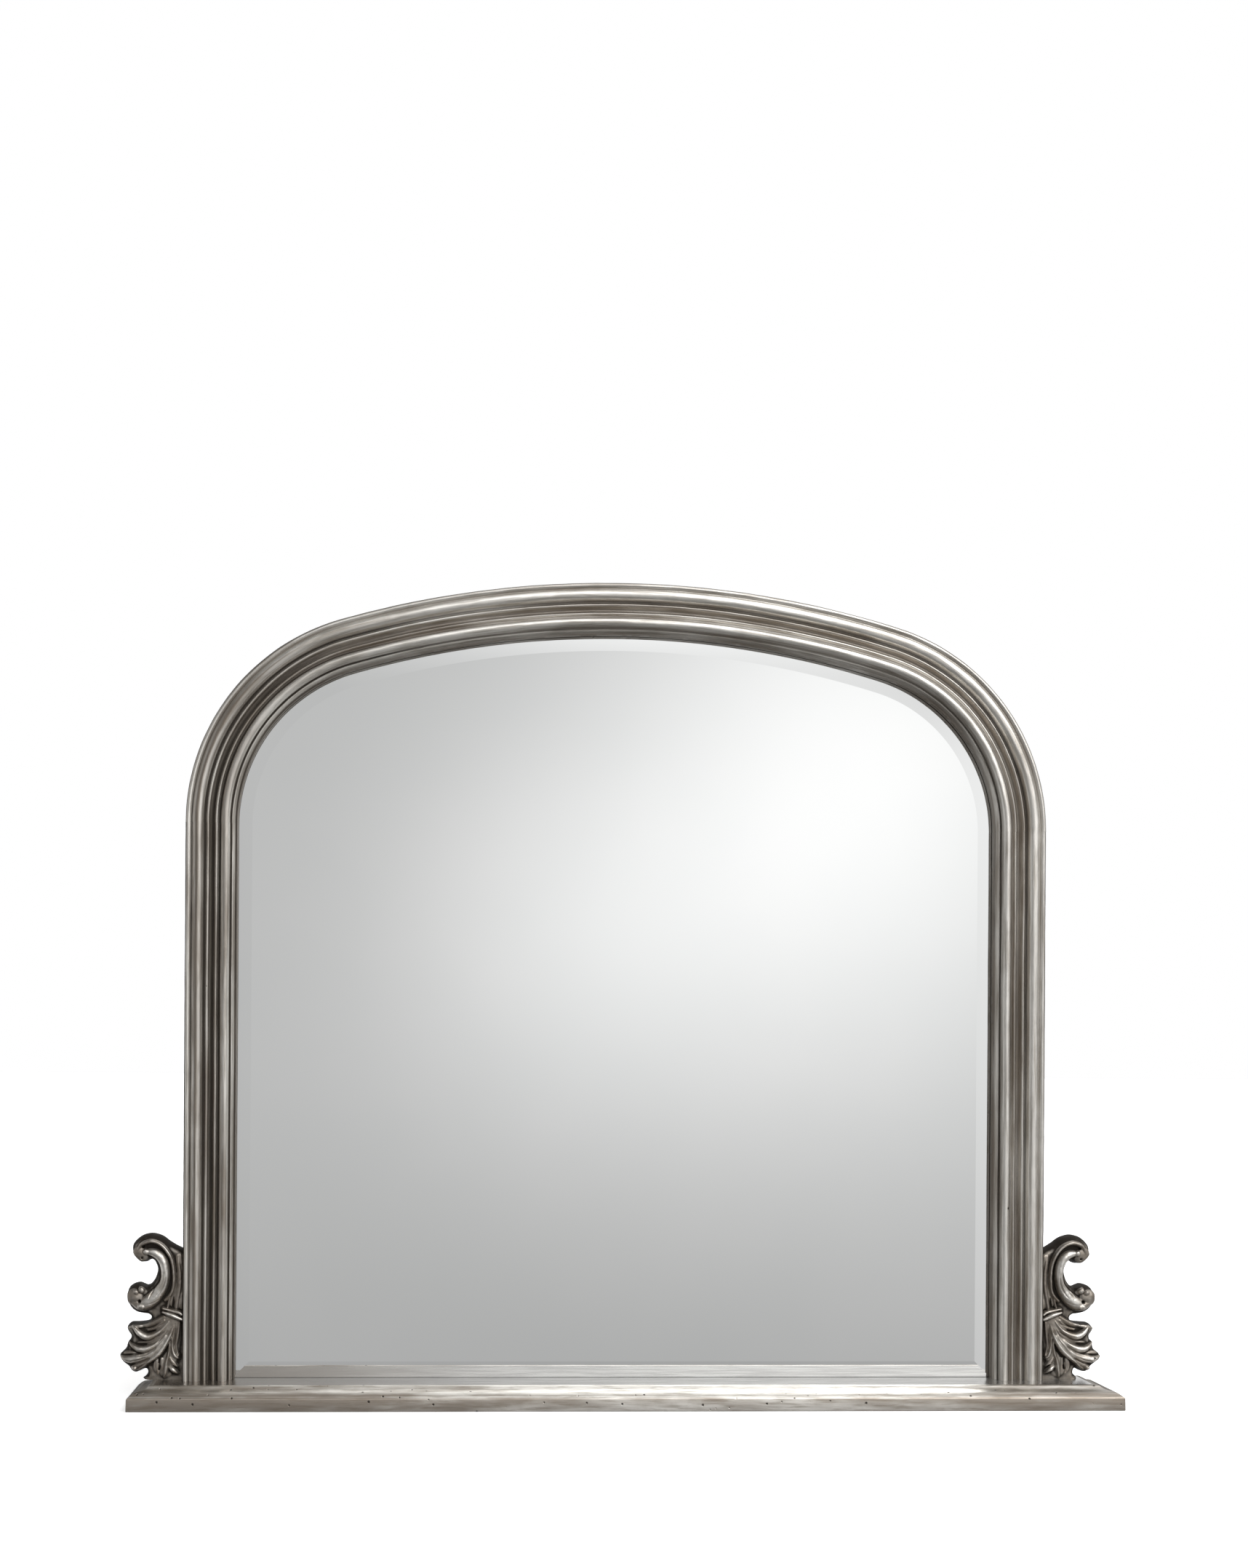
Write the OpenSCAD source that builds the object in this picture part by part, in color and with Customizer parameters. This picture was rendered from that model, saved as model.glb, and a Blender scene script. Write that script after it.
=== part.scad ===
// Arched overmantel mirror: a moulded wooden frame with a bevelled mirror plate, carved scroll
// brackets beside its feet, and a stepped plinth under it.
// +Z is up and the viewer stands on the -Y side. The origin is the centre of the plinth's underside.

/* [Frame] */
// Width across the two uprights
frame_w = 1115; // [900:5:1300]
// Height from the surface it stands on to the top of the arch
total_h = 1058; // [850:1:1300]
// Height of the arch, from the tops of the uprights to its own top
arch_rise = 315; // [260:1:350]
// Outer radius of the haunches, the tight ends of the arch, as a share of the arch's height
haunch_share = 0.868; // [0.8:0.001:0.9]
// Sideways place of the frame's centre on the plinth
frame_x = -12; // [-15:1:15]
// Width of the moulding, from its outer edge to its sight edge
mould_w = 64; // [60:0.5:70]
// Depth of the moulding at its outer shoulder
mould_d = 30; // [28:0.5:36]
// Gap between the back of the frame and the wall
wall_gap = 6; // [6:0.5:10]

/* [Mirror plate] */
// Thickness of the glass
glass_t = 4; // [3:0.5:5]
// Width of the bevel that shows inside the sight edge
bevel_show = 19; // [12:1:25]
// Depth that the bevel takes off the edge of the glass
bevel_drop = 1.6; // [1:0.1:2]

/* [Plinth] */
// How far the plinth runs out past each upright, under the brackets
plinth_reach = 74; // [60:0.5:110]
// Depth of the plinth, front to back
plinth_d = 90; // [82:1:120]
// Height of the plinth
plinth_h = 28; // [26:0.5:36]
// Height of the plain upright face below the sloped moulding
fascia_h = 18; // [12:0.5:19]
// Width of the mitred moulding round the plinth's front and ends
edging_w = 30; // [26:1:34]

/* [Scroll brackets] */
// Height of the brackets above the plinth
scroll_h = 187; // [150:1:230]
// Depth of the brackets, measured from the back of the frame
scroll_d = 30; // [28:1:34]
// Diameter of the dowels in the arch and brackets
dowel_d = 8; // [6:1:10]

/* [Hangers] */
// Diameter of the ring's wire
wire_d = 3; // [2.6:0.1:3]
// Width of the ring, between the middles of its wire
ring_w = 19; // [18:0.5:22]
// Width of the strap that holds the ring
strap_w = 12; // [11:0.5:13]
// Drop from the tops of the uprights to the ring's hinge
hanger_drop = 44; // [36:1:150]

/* [Hidden] */

$fn = 96;
fit = 0.2;              // clearance all round a dowel, screw or loose plate
over = 1;               // how far a cutting shape runs past a face

half_w = frame_w / 2;
plinth_w = frame_w + 2 * plinth_reach;
back_y = plinth_d / 2;              // the wall plane, at the back of the plinth
frame_y = back_y - wall_gap;        // the back face of the frame

// The arch: one large crown arc between two haunch arcs, each tangent to the next. It springs
// from the tops of the uprights
spring_h = total_h - arch_rise;
haunch_r = arch_rise * haunch_share;
haunch_x = half_w - haunch_r;
crown_r = (haunch_x * haunch_x + arch_rise * arch_rise - haunch_r * haunch_r) / (2 * (arch_rise - haunch_r));
crown_z = total_h - crown_r;
crown_half = atan2(haunch_x, spring_h - crown_z);

// Rebate at the back of the moulding, and the lip in front of it that ends in the sight edge
rebate_w = 10;
rebate_d = glass_t + 2;
lip_t = 7.5;
sight_d = rebate_d + lip_t;

plate_play = 2;                                   // room round the plate in its rebate
plate_edge = mould_w - rebate_w + plate_play;     // from the frame's outer edge to the plate's
groove_d = 8;                                     // groove in the plinth under the plate
block_t = 2;
plate_z = plinth_h - groove_d + block_t;
bevel_w = bevel_show + rebate_w - plate_play;

backing_t = 4;
backing_edge = mould_w - rebate_w - 18;           // from the frame's outer edge to the backing's

silver = [0.60, 0.57, 0.53];
bare_wood = [0.72, 0.58, 0.40];
dark_wood = [0.42, 0.31, 0.22];

// ---- Moulding -------------------------------------------------------------------------------

// The section is drawn 62 mm wide; its widths, and those of its beads, follow the moulding's
section_w = 62;
section_scale = mould_w / section_w;

// A bead of radius r whose centre is drawn x in from the outer edge and d above the back face
module bead(x, d, r) { translate([x * section_scale, d]) circle(r * section_scale); }

// Section of the frame: x runs from the outer edge to the sight edge, y from back to front.
// Outer bead, torus, sunk channel with two small beads, inner ridge, and the step to the glass
module frame_section() {
    channel_d = mould_d - 10;
    step_d = sight_d + 6.5;
    ground = [[0, 0], [62, 0], [62, sight_d], [60.5, sight_d + 0.8], [59, step_d - 2], [54, step_d - 1],
        [53, mould_d - 6], [45, mould_d - 6], [44, channel_d + 2], [40, channel_d + 2], [35, channel_d],
        [29, channel_d], [24, channel_d + 2], [21, channel_d + 3], [18, mould_d - 5], [8.5, mould_d - 3],
        [6, mould_d - 2.5], [1, mould_d - 2.5], [0, mould_d - 3.5]];
    difference() {
        union() {
            polygon([for (p = ground) [p[0] * section_scale, p[1]]]);
            bead(3.6, mould_d - 2.8, 2.8);
            bead(14.8, mould_d - 5.5, 7);
            bead(27, channel_d + 2, 2.3);
            bead(37.8, channel_d + 2.6, 2);
            bead(49, mould_d - 5.5, 5.5);
            bead(57.3, step_d - 1.6, 1.6);
        }
        // Sunk hollow in the middle of the channel
        bead(32.7, channel_d + 1, 2.6);
        translate([mould_w - rebate_w, -over]) square([rebate_w + over, rebate_d + over]);
    }
}

// A length of moulding up one side, from height z0 to z1, with its sight edge towards +X
module straight_moulding(z0, z1) {
    translate([-half_w, frame_y, z0]) linear_extrude(z1 - z0) mirror([0, 1]) frame_section();
}

// A stretch of a ring about the point (x, z), from angle a0 to a1. Its children are a section
// drawn with x as the distance in from the outer radius r and y as the height above the back
module arc_run(x, z, r, a0, a1) {
    translate([x, frame_y, z]) rotate([90, 0, 0]) rotate([0, 0, a0])
        rotate_extrude(angle = a1 - a0, $fn = 360) translate([r, 0]) mirror([1, 0]) children();
}

// The arch above the spring line, drawn d inside the frame's outer edge
module arch_top(d) {
    crown_half_w = haunch_x + (haunch_r - d) * sin(crown_half);
    intersection() {
        union() {
            for (side = [-1, 1]) translate([side * haunch_x, spring_h]) circle(haunch_r - d, $fn = 180);
            intersection() {
                translate([0, crown_z]) circle(crown_r - d, $fn = 360);
                translate([-crown_half_w, spring_h]) square([2 * crown_half_w, arch_rise]);
            }
        }
        translate([-half_w, spring_h]) square([frame_w, arch_rise]);
    }
}

// The outline of an arched sheet, drawn d inside the frame's outer edge and from height z0
module arch_outline(d, z0) {
    translate([-half_w + d, z0]) square([frame_w - 2 * d, spring_h - z0]);
    arch_top(d);
}

// A flat arched sheet from depth y0 forward by t
module arch_sheet(d, z0, y0, t) {
    translate([0, y0, 0]) rotate([90, 0, 0]) linear_extrude(t) arch_outline(d, z0);
}

module centred_frame() { translate([frame_x, 0, 0]) children(); }

// ---- Dowels and screws ----------------------------------------------------------------------

dowel_len = 60;
joint_depth = 13;       // how far in front of the frame's back the arch dowels run
joint_in = 18;          // how far in from the outer edge they run

// The four joints of the arch: [x, z, angle] where the dowel crosses each at right angles
spring_joint = [half_w - joint_in, spring_h, 0];
crown_joint = [(crown_r - joint_in) * sin(crown_half), crown_z + (crown_r - joint_in) * cos(crown_half),
    90 - crown_half];

module joint_dowel(joint, side, d, len) {
    translate([side * joint[0], frame_y - joint_depth, joint[1]]) rotate([0, -side * joint[2], 0])
        cylinder(d = d, h = len, center = true);
}

module arch_dowel_set(d, len) {
    for (side = [-1, 1], joint = [spring_joint, crown_joint]) joint_dowel(joint, side, d, len);
}

// A countersunk screw pointing up, its head flush with z = 0, or the hole for it with play all round
module countersunk(d, head, len, play) {
    translate([0, 0, -play]) {
        cylinder(h = (head - d) / 2 + play, d1 = head + 4 * play, d2 = d + 2 * play);
        cylinder(d = d + 2 * play, h = len + 2 * play);
    }
}

// The same, pointing forward into the frame from the point (x, z), its head at depth y
module rear_screw(x, z, y, d, head, len, play) {
    translate([x, y, z]) rotate([90, 0, 0]) countersunk(d, head, len, play);
}

foot_screw_d = 5;
foot_screw_head = 10;
foot_screw_len = 70;
foot_screw_in = [18, 42];           // from the outer edge of each upright
foot_screw_depth = 13;              // in front of the frame's back

module foot_screw_set(play) {
    for (side = [-1, 1], x = foot_screw_in)
        translate([side * (half_w - x), frame_y - foot_screw_depth, 0])
            countersunk(foot_screw_d, foot_screw_head, foot_screw_len, play);
}

backing_screw_d = 3;
backing_screw_head = 6;
backing_screw_len = 14;
backing_screw_in = backing_edge + 9;
side_screws = 5;                    // up each side
side_screw_end = 44;                // from the uprights' tops to the highest screws
side_screw_foot = foot_screw_len + side_screw_end / 2;
side_screw_top = spring_h - side_screw_end;
side_screw_step = (side_screw_top - side_screw_foot) / (side_screws - 1);
arc_screws = 4;                     // round the crown

// One screw through the backing, from its rear face
module backing_screw(x, z, play) {
    rear_screw(x, z, frame_y + backing_t, backing_screw_d, backing_screw_head, backing_screw_len, play);
}

module backing_screw_set(play) {
    haunch_screw_r = haunch_r - backing_screw_in;
    crown_screw_r = crown_r - backing_screw_in;
    for (side = [-1, 1]) {
        for (i = [0 : side_screws - 1])
            backing_screw(side * (half_w - backing_screw_in), side_screw_foot + i * side_screw_step, play);
        for (a = [30, 62])
            backing_screw(side * (haunch_x + haunch_screw_r * cos(a)), spring_h + haunch_screw_r * sin(a), play);
    }
    for (i = [0 : arc_screws - 1]) {
        a = (i - (arc_screws - 1) / 2) * 2 * crown_half / arc_screws;
        backing_screw(crown_screw_r * sin(a), crown_z + crown_screw_r * cos(a), play);
    }
}

drawn_h = 187;                      // height at which the brackets' points are drawn
scroll_scale = scroll_h / drawn_h;
scroll_dowel_v = [30 * scroll_scale, 120 * scroll_scale];     // heights above the plinth
scroll_dowel_depth = 8;             // in front of the frame's back
scroll_dowel_len = 3 * dowel_d;

module scroll_dowel_set(d, len) {
    for (side = [-1, 1], v = scroll_dowel_v)
        translate([side * half_w, frame_y - scroll_dowel_depth, plinth_h + v]) rotate([0, 90, 0])
            cylinder(d = d, h = len, center = true);
}

// Everything that is drilled into the frame's members
module frame_drilling() {
    arch_dowel_set(dowel_d + 2 * fit, dowel_len + 2);
    foot_screw_set(fit);
    backing_screw_set(fit);
    scroll_dowel_set(dowel_d + 2 * fit, scroll_dowel_len + 2);
    for (side = [-1, 1]) hanger_screw_pair(side, fit);
}

// ---- Frame members --------------------------------------------------------------------------

module upright(side) {
    centred_frame() difference() {
        mirror([side > 0 ? 1 : 0, 0, 0]) straight_moulding(plinth_h, spring_h);
        frame_drilling();
    }
}

module haunch(side) {
    centred_frame() difference() {
        mirror([side > 0 ? 1 : 0, 0, 0])
            arc_run(-haunch_x, spring_h, haunch_r, 90 + crown_half, 180) frame_section();
        frame_drilling();
    }
}

module left_upright() { color(silver) upright(-1); }
module right_upright() { color(silver) upright(1); }
module left_haunch() { color(silver) haunch(-1); }
module right_haunch() { color(silver) haunch(1); }

module crown() {
    color(silver) centred_frame() difference() {
        arc_run(0, crown_z, crown_r, 90 - crown_half, 90 + crown_half) frame_section();
        frame_drilling();
    }
}

module arch_dowels() { color(bare_wood) centred_frame() arch_dowel_set(dowel_d, dowel_len); }
module foot_screws() { color("gray") centred_frame() foot_screw_set(0); }

// ---- Plinth ---------------------------------------------------------------------------------

// Section of the edging: x is the distance out from the board, y is the height
module edging_section() {
    slope_h = plinth_h - fascia_h;
    slope_w = edging_w - 6;
    ogee_r = slope_h * 0.62;
    difference() {
        union() {
            square([edging_w, fascia_h - 2]);
            polygon([[0, fascia_h - 2], [edging_w, fascia_h - 2], [edging_w - 2, fascia_h],
                [edging_w - slope_w, plinth_h], [0, plinth_h]]);
            intersection() {
                translate([edging_w - slope_w * 0.42 - 1, fascia_h - 1]) circle(ogee_r);
                translate([0, fascia_h - 2]) square([edging_w - 2, slope_h]);
            }
        }
        translate([edging_w - slope_w * 0.55, plinth_h + ogee_r * 0.62]) circle(ogee_r * 0.9);
    }
}

// The edging along the front, then cut to its mitres
module front_run() {
    translate([-plinth_w / 2, -plinth_d / 2 + edging_w, 0]) rotate([90, 0, 90])
        linear_extrude(plinth_w) mirror([1, 0]) edging_section();
}

// Block that keeps what lies in front of the 45 degree mitre at the left corner
module mitre_keep() {
    reach = edging_w + over;
    translate([-plinth_w / 2, -plinth_d / 2, -over]) linear_extrude(plinth_h + 2 * over)
        polygon([[-over, -over], [reach, reach], [plinth_w + over, reach], [plinth_w + over, -over]]);
}

module plinth_front_edging() {
    color(silver) intersection() {
        front_run();
        mitre_keep();
        mirror([1, 0, 0]) mitre_keep();
    }
}

module end_edging(side) {
    mirror([side > 0 ? 1 : 0, 0, 0]) difference() {
        translate([-plinth_w / 2 + edging_w, plinth_d / 2, 0]) rotate([90, 0, 0])
            linear_extrude(plinth_d) mirror([1, 0]) edging_section();
        mitre_keep();
    }
}

module plinth_left_edging() { color(silver) end_edging(-1); }
module plinth_right_edging() { color(silver) end_edging(1); }

module plinth_board() {
    board_w = plinth_w - 2 * edging_w;
    color(bare_wood) difference() {
        translate([-board_w / 2, -plinth_d / 2 + edging_w, 0])
            cube([board_w, plinth_d - edging_w, plinth_h]);
        centred_frame() {
            // Groove that takes the lower edge of the mirror plate
            translate([-half_w + plate_edge - 1, frame_y - rebate_d, plinth_h - groove_d])
                cube([frame_w - 2 * plate_edge + 2, rebate_d - 1, groove_d + over]);
            foot_screw_set(fit);
        }
    }
}

// ---- Carved scroll brackets -----------------------------------------------------------------
// Points are [u, v, r, h]: u outward from the upright, v above the plinth, r the half width of
// the carved limb and h the height of its crest in front of the frame's back. u, v and r are
// drawn for a bracket drawn_h high.

c_scroll = [
    for (a = [-80 : 40 : 120]) [46 + 10 * cos(a), 167 + 10 * sin(a), 8.5, scroll_d - 5 - (a + 80) / 50],
    [33, 168, 11, scroll_d - 5], [26, 153, 11.5, scroll_d - 3], [23.5, 136, 12, scroll_d - 2],
    [27, 119, 11.5, scroll_d - 2], [36, 106, 10.5, scroll_d - 3],
    for (a = [240 : 40 : 440]) [53 + 9.5 * cos(a), 104 + 9.5 * sin(a), 9, scroll_d - 2 - (a - 240) / 50]];
upper_eye = [50, 161, 5.5, scroll_d - 3];
lower_eye = [55, 109, 6.5, scroll_d - 1];
stem_rib = [[7, 166, 6, scroll_d - 11], [5, 130, 5, scroll_d - 8], [6, 90, 5, scroll_d - 7]];
stem_web = [[16, 172, 7, scroll_d - 13], [14, 130, 8, scroll_d - 11], [15, 92, 8, scroll_d - 9]];
leaf_top = [[12, 76, 10, scroll_d - 7], [31, 73, 8, scroll_d - 6], [50, 66, 9, scroll_d - 5],
    [64, 64, 6.5, scroll_d - 11]];
leaf_middle = [[14, 62, 12, scroll_d - 8], [34, 52, 9, scroll_d - 5], [52, 46, 9, scroll_d - 5],
    [66, 47, 6, scroll_d - 12]];
leaf_low = [[16, 50, 13, scroll_d - 8], [36, 38, 11, scroll_d - 3], [56, 33, 11, scroll_d - 3],
    [75, 33, 7.5, scroll_d - 12]];
leaf_tip = [[18, 42, 12, scroll_d - 10], [36, 29, 10, scroll_d - 6], [52, 22, 9, scroll_d - 8],
    [63, 15, 6, scroll_d - 16]];
leaf_stem = [[14, 70, 8, scroll_d - 6], [17, 36, 9, scroll_d - 7], [24, 8, 8, scroll_d - 12]];
leaf_inner = [[6, 76, 5, scroll_d - 12], [6, 40, 6, scroll_d - 14], [9, 8, 7, scroll_d - 14]];
leaf_foot = [[9, 9, 9, scroll_d - 16], [40, 9, 8.5, scroll_d - 18]];
// Slanting double collar where the leaf springs from the fluted stem
collar = [[[2.5, 84, 2.2, scroll_d - 3], [23, 90.5, 2.2, scroll_d - 3]],
    [[2.5, 79, 2.2, scroll_d - 3], [23, 85.5, 2.2, scroll_d - 3]]];

// One station of a limb: a post from the flat back with a domed crest
module crest(p) {
    r = p[2] * scroll_scale;
    dome = min(r, p[3] * 0.5);
    translate([p[0] * scroll_scale, frame_y, plinth_h + p[1] * scroll_scale]) rotate([90, 0, 0]) {
        cylinder(r = r, h = p[3] - dome, $fn = 14);
        translate([0, 0, p[3] - dome]) scale([r, r, dome]) sphere(r = 1, $fn = 14);
    }
}

module limb(points) {
    for (i = [0 : len(points) - 2]) hull() { crest(points[i]); crest(points[i + 1]); }
}

module carved_scroll() {
    intersection() {
        union() {
            limb(c_scroll);
            for (part = [stem_web, stem_rib, leaf_top, leaf_middle, leaf_low, leaf_tip,
                leaf_stem, leaf_inner, leaf_foot]) limb(part);
            crest(upper_eye);
            crest(lower_eye);
            for (bar = collar) limb(bar);
        }
        // Flat joints against the upright and on the plinth
        translate([0, frame_y - 2 * scroll_d, plinth_h]) cube([scroll_h, 2 * scroll_d, 2 * scroll_h]);
    }
}

module scroll(side) {
    centred_frame() difference() {
        mirror([side < 0 ? 1 : 0, 0, 0]) translate([half_w, 0, 0]) carved_scroll();
        scroll_dowel_set(dowel_d + 2 * fit, scroll_dowel_len + 2, $fn = 32);
    }
}

module left_scroll() { color(silver) scroll(-1); }
module right_scroll() { color(silver) scroll(1); }
module scroll_dowels() { color(bare_wood) centred_frame() scroll_dowel_set(dowel_d, scroll_dowel_len); }

// ---- Mirror plate and back ------------------------------------------------------------------

plate_back = frame_y - 1.8;         // rear face of the plate
plate_front = plate_back - glass_t;

// The plate is convex, so its bevel is the hull of the whole outline, thinned to its edge, and of
// the flat field at full thickness
module mirror_plate() {
    color("lightgray") centred_frame() hull() {
        arch_sheet(plate_edge, plate_z, plate_back, glass_t - bevel_drop);
        arch_sheet(plate_edge + bevel_w, plate_z + bevel_w, plate_back, glass_t);
    }
}

block_w = 50;
pad_w = 12;
low_spread = frame_w * 0.28;        // between the setting blocks, and between the lowest pads
side_pads = 4;                      // up each side

module setting_blocks() {
    color("black") centred_frame() for (i = [-1, 0, 1])
        translate([i * low_spread - block_w / 2, plate_front, plinth_h - groove_d])
            cube([block_w, glass_t, block_t]);
}

// One felt pad, centred on the point (x, z), between the plate and the backing
module felt_pad(x, z) {
    translate([x - pad_w / 2, plate_back, z - pad_w / 2]) cube([pad_w, frame_y - plate_back, pad_w]);
}

// Felt pads that hold the plate off the backing
module plate_pads() {
    in = plate_edge + pad_w;
    low_z = plinth_h + 2 * pad_w;
    step = (spring_h - low_z) / side_pads;
    color("dimgray") centred_frame() {
        for (side = [-1, 1]) {
            for (i = [1 : side_pads]) felt_pad(side * (half_w - in), low_z + i * step);
            top = side * crown_half * 0.7;
            felt_pad((crown_r - in) * sin(top), crown_z + (crown_r - in) * cos(top));
        }
        for (i = [-1, 0, 1]) felt_pad(i * low_spread, low_z);
    }
}

module backing_board() {
    color(dark_wood) centred_frame() difference() {
        arch_sheet(backing_edge, plinth_h + 1, frame_y + backing_t, backing_t);
        backing_screw_set(fit);
    }
}

module backing_screws() { color("gray") centred_frame() backing_screw_set(0); }

// ---- Hangers --------------------------------------------------------------------------------

strap_t = 1.2;
strap_len = 34;
strap_in = backing_edge / 2;        // from the upright's outer edge to the strap's middle
hinge_off = 3;                      // from the frame's back to the ring's hinge
hinge_play = 0.1;
knuckle_r = hinge_off;
ring_leg = 6;
hanger_screw_d = 3;
hanger_screw_head = 6;
hanger_screw_len = 16;
hanger_screw_drop = [strap_len * 0.47, strap_len * 0.79];     // below the hinge
hanger_h = spring_h - hanger_drop;

module at_hanger(side) {
    translate([side * (half_w - strap_in), frame_y, hanger_h]) children();
}

module hanger_screw_pair(side, play) {
    at_hanger(side) for (drop = hanger_screw_drop)
        rear_screw(0, -drop, strap_t - 0.15, hanger_screw_d, hanger_screw_head, hanger_screw_len, play);
}

// A plate on the frame's back, rolled over at the top to hold the ring
module hanger_strap(side) {
    centred_frame() difference() {
        at_hanger(side) {
            difference() {
                union() {
                    translate([-strap_w / 2, 0, -strap_len + strap_w / 2])
                        cube([strap_w, strap_t, strap_len - strap_w / 2]);
                    translate([0, 0, -strap_len + strap_w / 2]) rotate([-90, 0, 0])
                        cylinder(d = strap_w, h = strap_t);
                    translate([-strap_w / 2, hinge_off, 0]) rotate([0, 90, 0])
                        cylinder(r = knuckle_r, h = strap_w);
                }
                translate([-strap_w / 2 - over, hinge_off, 0]) rotate([0, 90, 0])
                    cylinder(d = wire_d + 2 * hinge_play, h = strap_w + 2 * over);
            }
        }
        hanger_screw_pair(side, fit);
    }
}

// A D of round wire, hanging from the knuckle
module hanger_ring(side) {
    centred_frame() at_hanger(side) translate([0, hinge_off, 0]) {
        rotate([0, 90, 0]) cylinder(d = wire_d, h = ring_w, center = true);
        for (end = [-1, 1]) {
            translate([end * ring_w / 2, 0, 0]) sphere(d = wire_d);
            translate([end * ring_w / 2, 0, -ring_leg]) cylinder(d = wire_d, h = ring_leg);
        }
        translate([0, 0, -ring_leg]) rotate([90, 0, 0]) rotate([0, 0, 180])
            rotate_extrude(angle = 180) translate([ring_w / 2, 0]) circle(d = wire_d);
    }
}

module left_hanger_strap() { color("gold") hanger_strap(-1); }
module right_hanger_strap() { color("gold") hanger_strap(1); }
module left_hanger_ring() { color("gold") hanger_ring(-1); }
module right_hanger_ring() { color("gold") hanger_ring(1); }

module hanger_screws() {
    color("gold") centred_frame() for (side = [-1, 1]) hanger_screw_pair(side, 0);
}

// ---- Assembly -------------------------------------------------------------------------------

plinth_board();
plinth_front_edging();
plinth_left_edging();
plinth_right_edging();
left_upright();
right_upright();
left_haunch();
right_haunch();
crown();
arch_dowels();
foot_screws();
left_scroll();
right_scroll();
scroll_dowels();
mirror_plate();
setting_blocks();
plate_pads();
backing_board();
backing_screws();
left_hanger_strap();
right_hanger_strap();
left_hanger_ring();
right_hanger_ring();
hanger_screws();
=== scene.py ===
"""Arched overmantel mirror: silvered mouldings, carved scroll brackets, plinth, glass and studio.

Lengths inside the carving and section functions are in millimetres, as a carver would mark them.
Everything that is placed in the scene is in metres.
"""
import math

import bmesh
import bpy
import numpy as np
from mathutils import Matrix, Vector, noise

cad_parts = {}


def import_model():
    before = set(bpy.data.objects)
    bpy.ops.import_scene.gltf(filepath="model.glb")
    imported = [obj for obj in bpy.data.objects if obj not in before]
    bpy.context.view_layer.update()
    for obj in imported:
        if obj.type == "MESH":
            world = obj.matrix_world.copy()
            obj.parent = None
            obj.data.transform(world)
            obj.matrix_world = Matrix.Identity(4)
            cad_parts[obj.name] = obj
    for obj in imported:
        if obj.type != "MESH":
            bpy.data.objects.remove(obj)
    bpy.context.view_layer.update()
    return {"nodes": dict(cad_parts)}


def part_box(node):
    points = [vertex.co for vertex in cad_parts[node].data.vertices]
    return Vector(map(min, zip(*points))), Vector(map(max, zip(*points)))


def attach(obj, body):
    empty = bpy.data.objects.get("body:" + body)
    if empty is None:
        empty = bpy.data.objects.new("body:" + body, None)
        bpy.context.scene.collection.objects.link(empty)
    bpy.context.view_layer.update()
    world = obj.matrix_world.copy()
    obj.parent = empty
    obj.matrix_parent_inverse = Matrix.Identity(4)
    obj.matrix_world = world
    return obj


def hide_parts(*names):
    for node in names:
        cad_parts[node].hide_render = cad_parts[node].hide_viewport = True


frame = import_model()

MM = 0.001
BODY = "mirror"

# ---- Places taken from the frame ---------------------------

left_lo, left_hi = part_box("left_upright")
right_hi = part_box("right_upright")[1]
board_lo, board_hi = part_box("plinth_board")
edge_lo, edge_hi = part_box("plinth_front_edging")
plate_lo, plate_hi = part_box("mirror_plate")

CENTRE_X = (left_lo.x + right_hi.x) / 2
HALF_W = (right_hi.x - left_lo.x) / 2
FOOT_Z = left_lo.z
SPRING_Z = left_hi.z
TOP_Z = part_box("crown")[1].z
BACK_Y = left_hi.y

# The arch, as in the construction: a crown arc between two tighter haunch arcs
RISE = TOP_Z - SPRING_Z
HAUNCH_SHARE = 0.868       # outer radius of the haunches, as a share of the rise
HAUNCH_R = HAUNCH_SHARE * RISE
HAUNCH_X = HALF_W - HAUNCH_R
CROWN_R = (HAUNCH_X ** 2 + RISE ** 2 - HAUNCH_R ** 2) / (2 * (RISE - HAUNCH_R))
CROWN_Z = TOP_Z - CROWN_R
CROWN_HALF = math.atan2(HAUNCH_X, SPRING_Z - CROWN_Z)
JOINT_A = math.pi / 2 + CROWN_HALF      # direction of the left haunch's joint with the crown
# Run of the outer edge: up a leg, round a haunch, and from foot to foot
LEG_RUN = SPRING_Z - FOOT_Z
HAUNCH_RUN = HAUNCH_R * (math.pi / 2 - CROWN_HALF)
RUN_ALL = 2 * (LEG_RUN + HAUNCH_RUN + CROWN_R * CROWN_HALF)

# Moulding section, in millimetres
MOULD_W = round((left_hi.x - left_lo.x) / MM, 2)
DRAWN_W = 62.0             # width at which the section is drawn
MOULD_D = 30.0
REBATE_W = 10.0
REBATE_D = 6.0
SIGHT_D = 13.5
CHANNEL_D = MOULD_D - 10
STEP_D = SIGHT_D + 6.5


# ---- Small helpers -----------------------------------------

def smooth_noise(points, scale, seed):
    """Perlin noise at an array of points (n, 3), between about -1 and 1."""
    shift = Vector((seed * 17.3, seed * 5.1, seed * 9.7))
    return np.array([noise.noise(Vector(p) * scale + shift) for p in points])


def blur(values, sigma):
    """Gaussian blur of a 1-D array, sigma in samples, with the ends held."""
    reach = max(1, int(3 * sigma))
    x = np.arange(-reach, reach + 1)
    kernel = np.exp(-x ** 2 / (2 * sigma ** 2))
    padded = np.pad(values, reach, mode="edge")
    return np.convolve(padded, kernel / kernel.sum(), mode="valid")


def blur_grid(grid, sigma):
    rows = np.array([blur(row, sigma) for row in grid])
    return np.array([blur(col, sigma) for col in rows.T]).T


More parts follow.
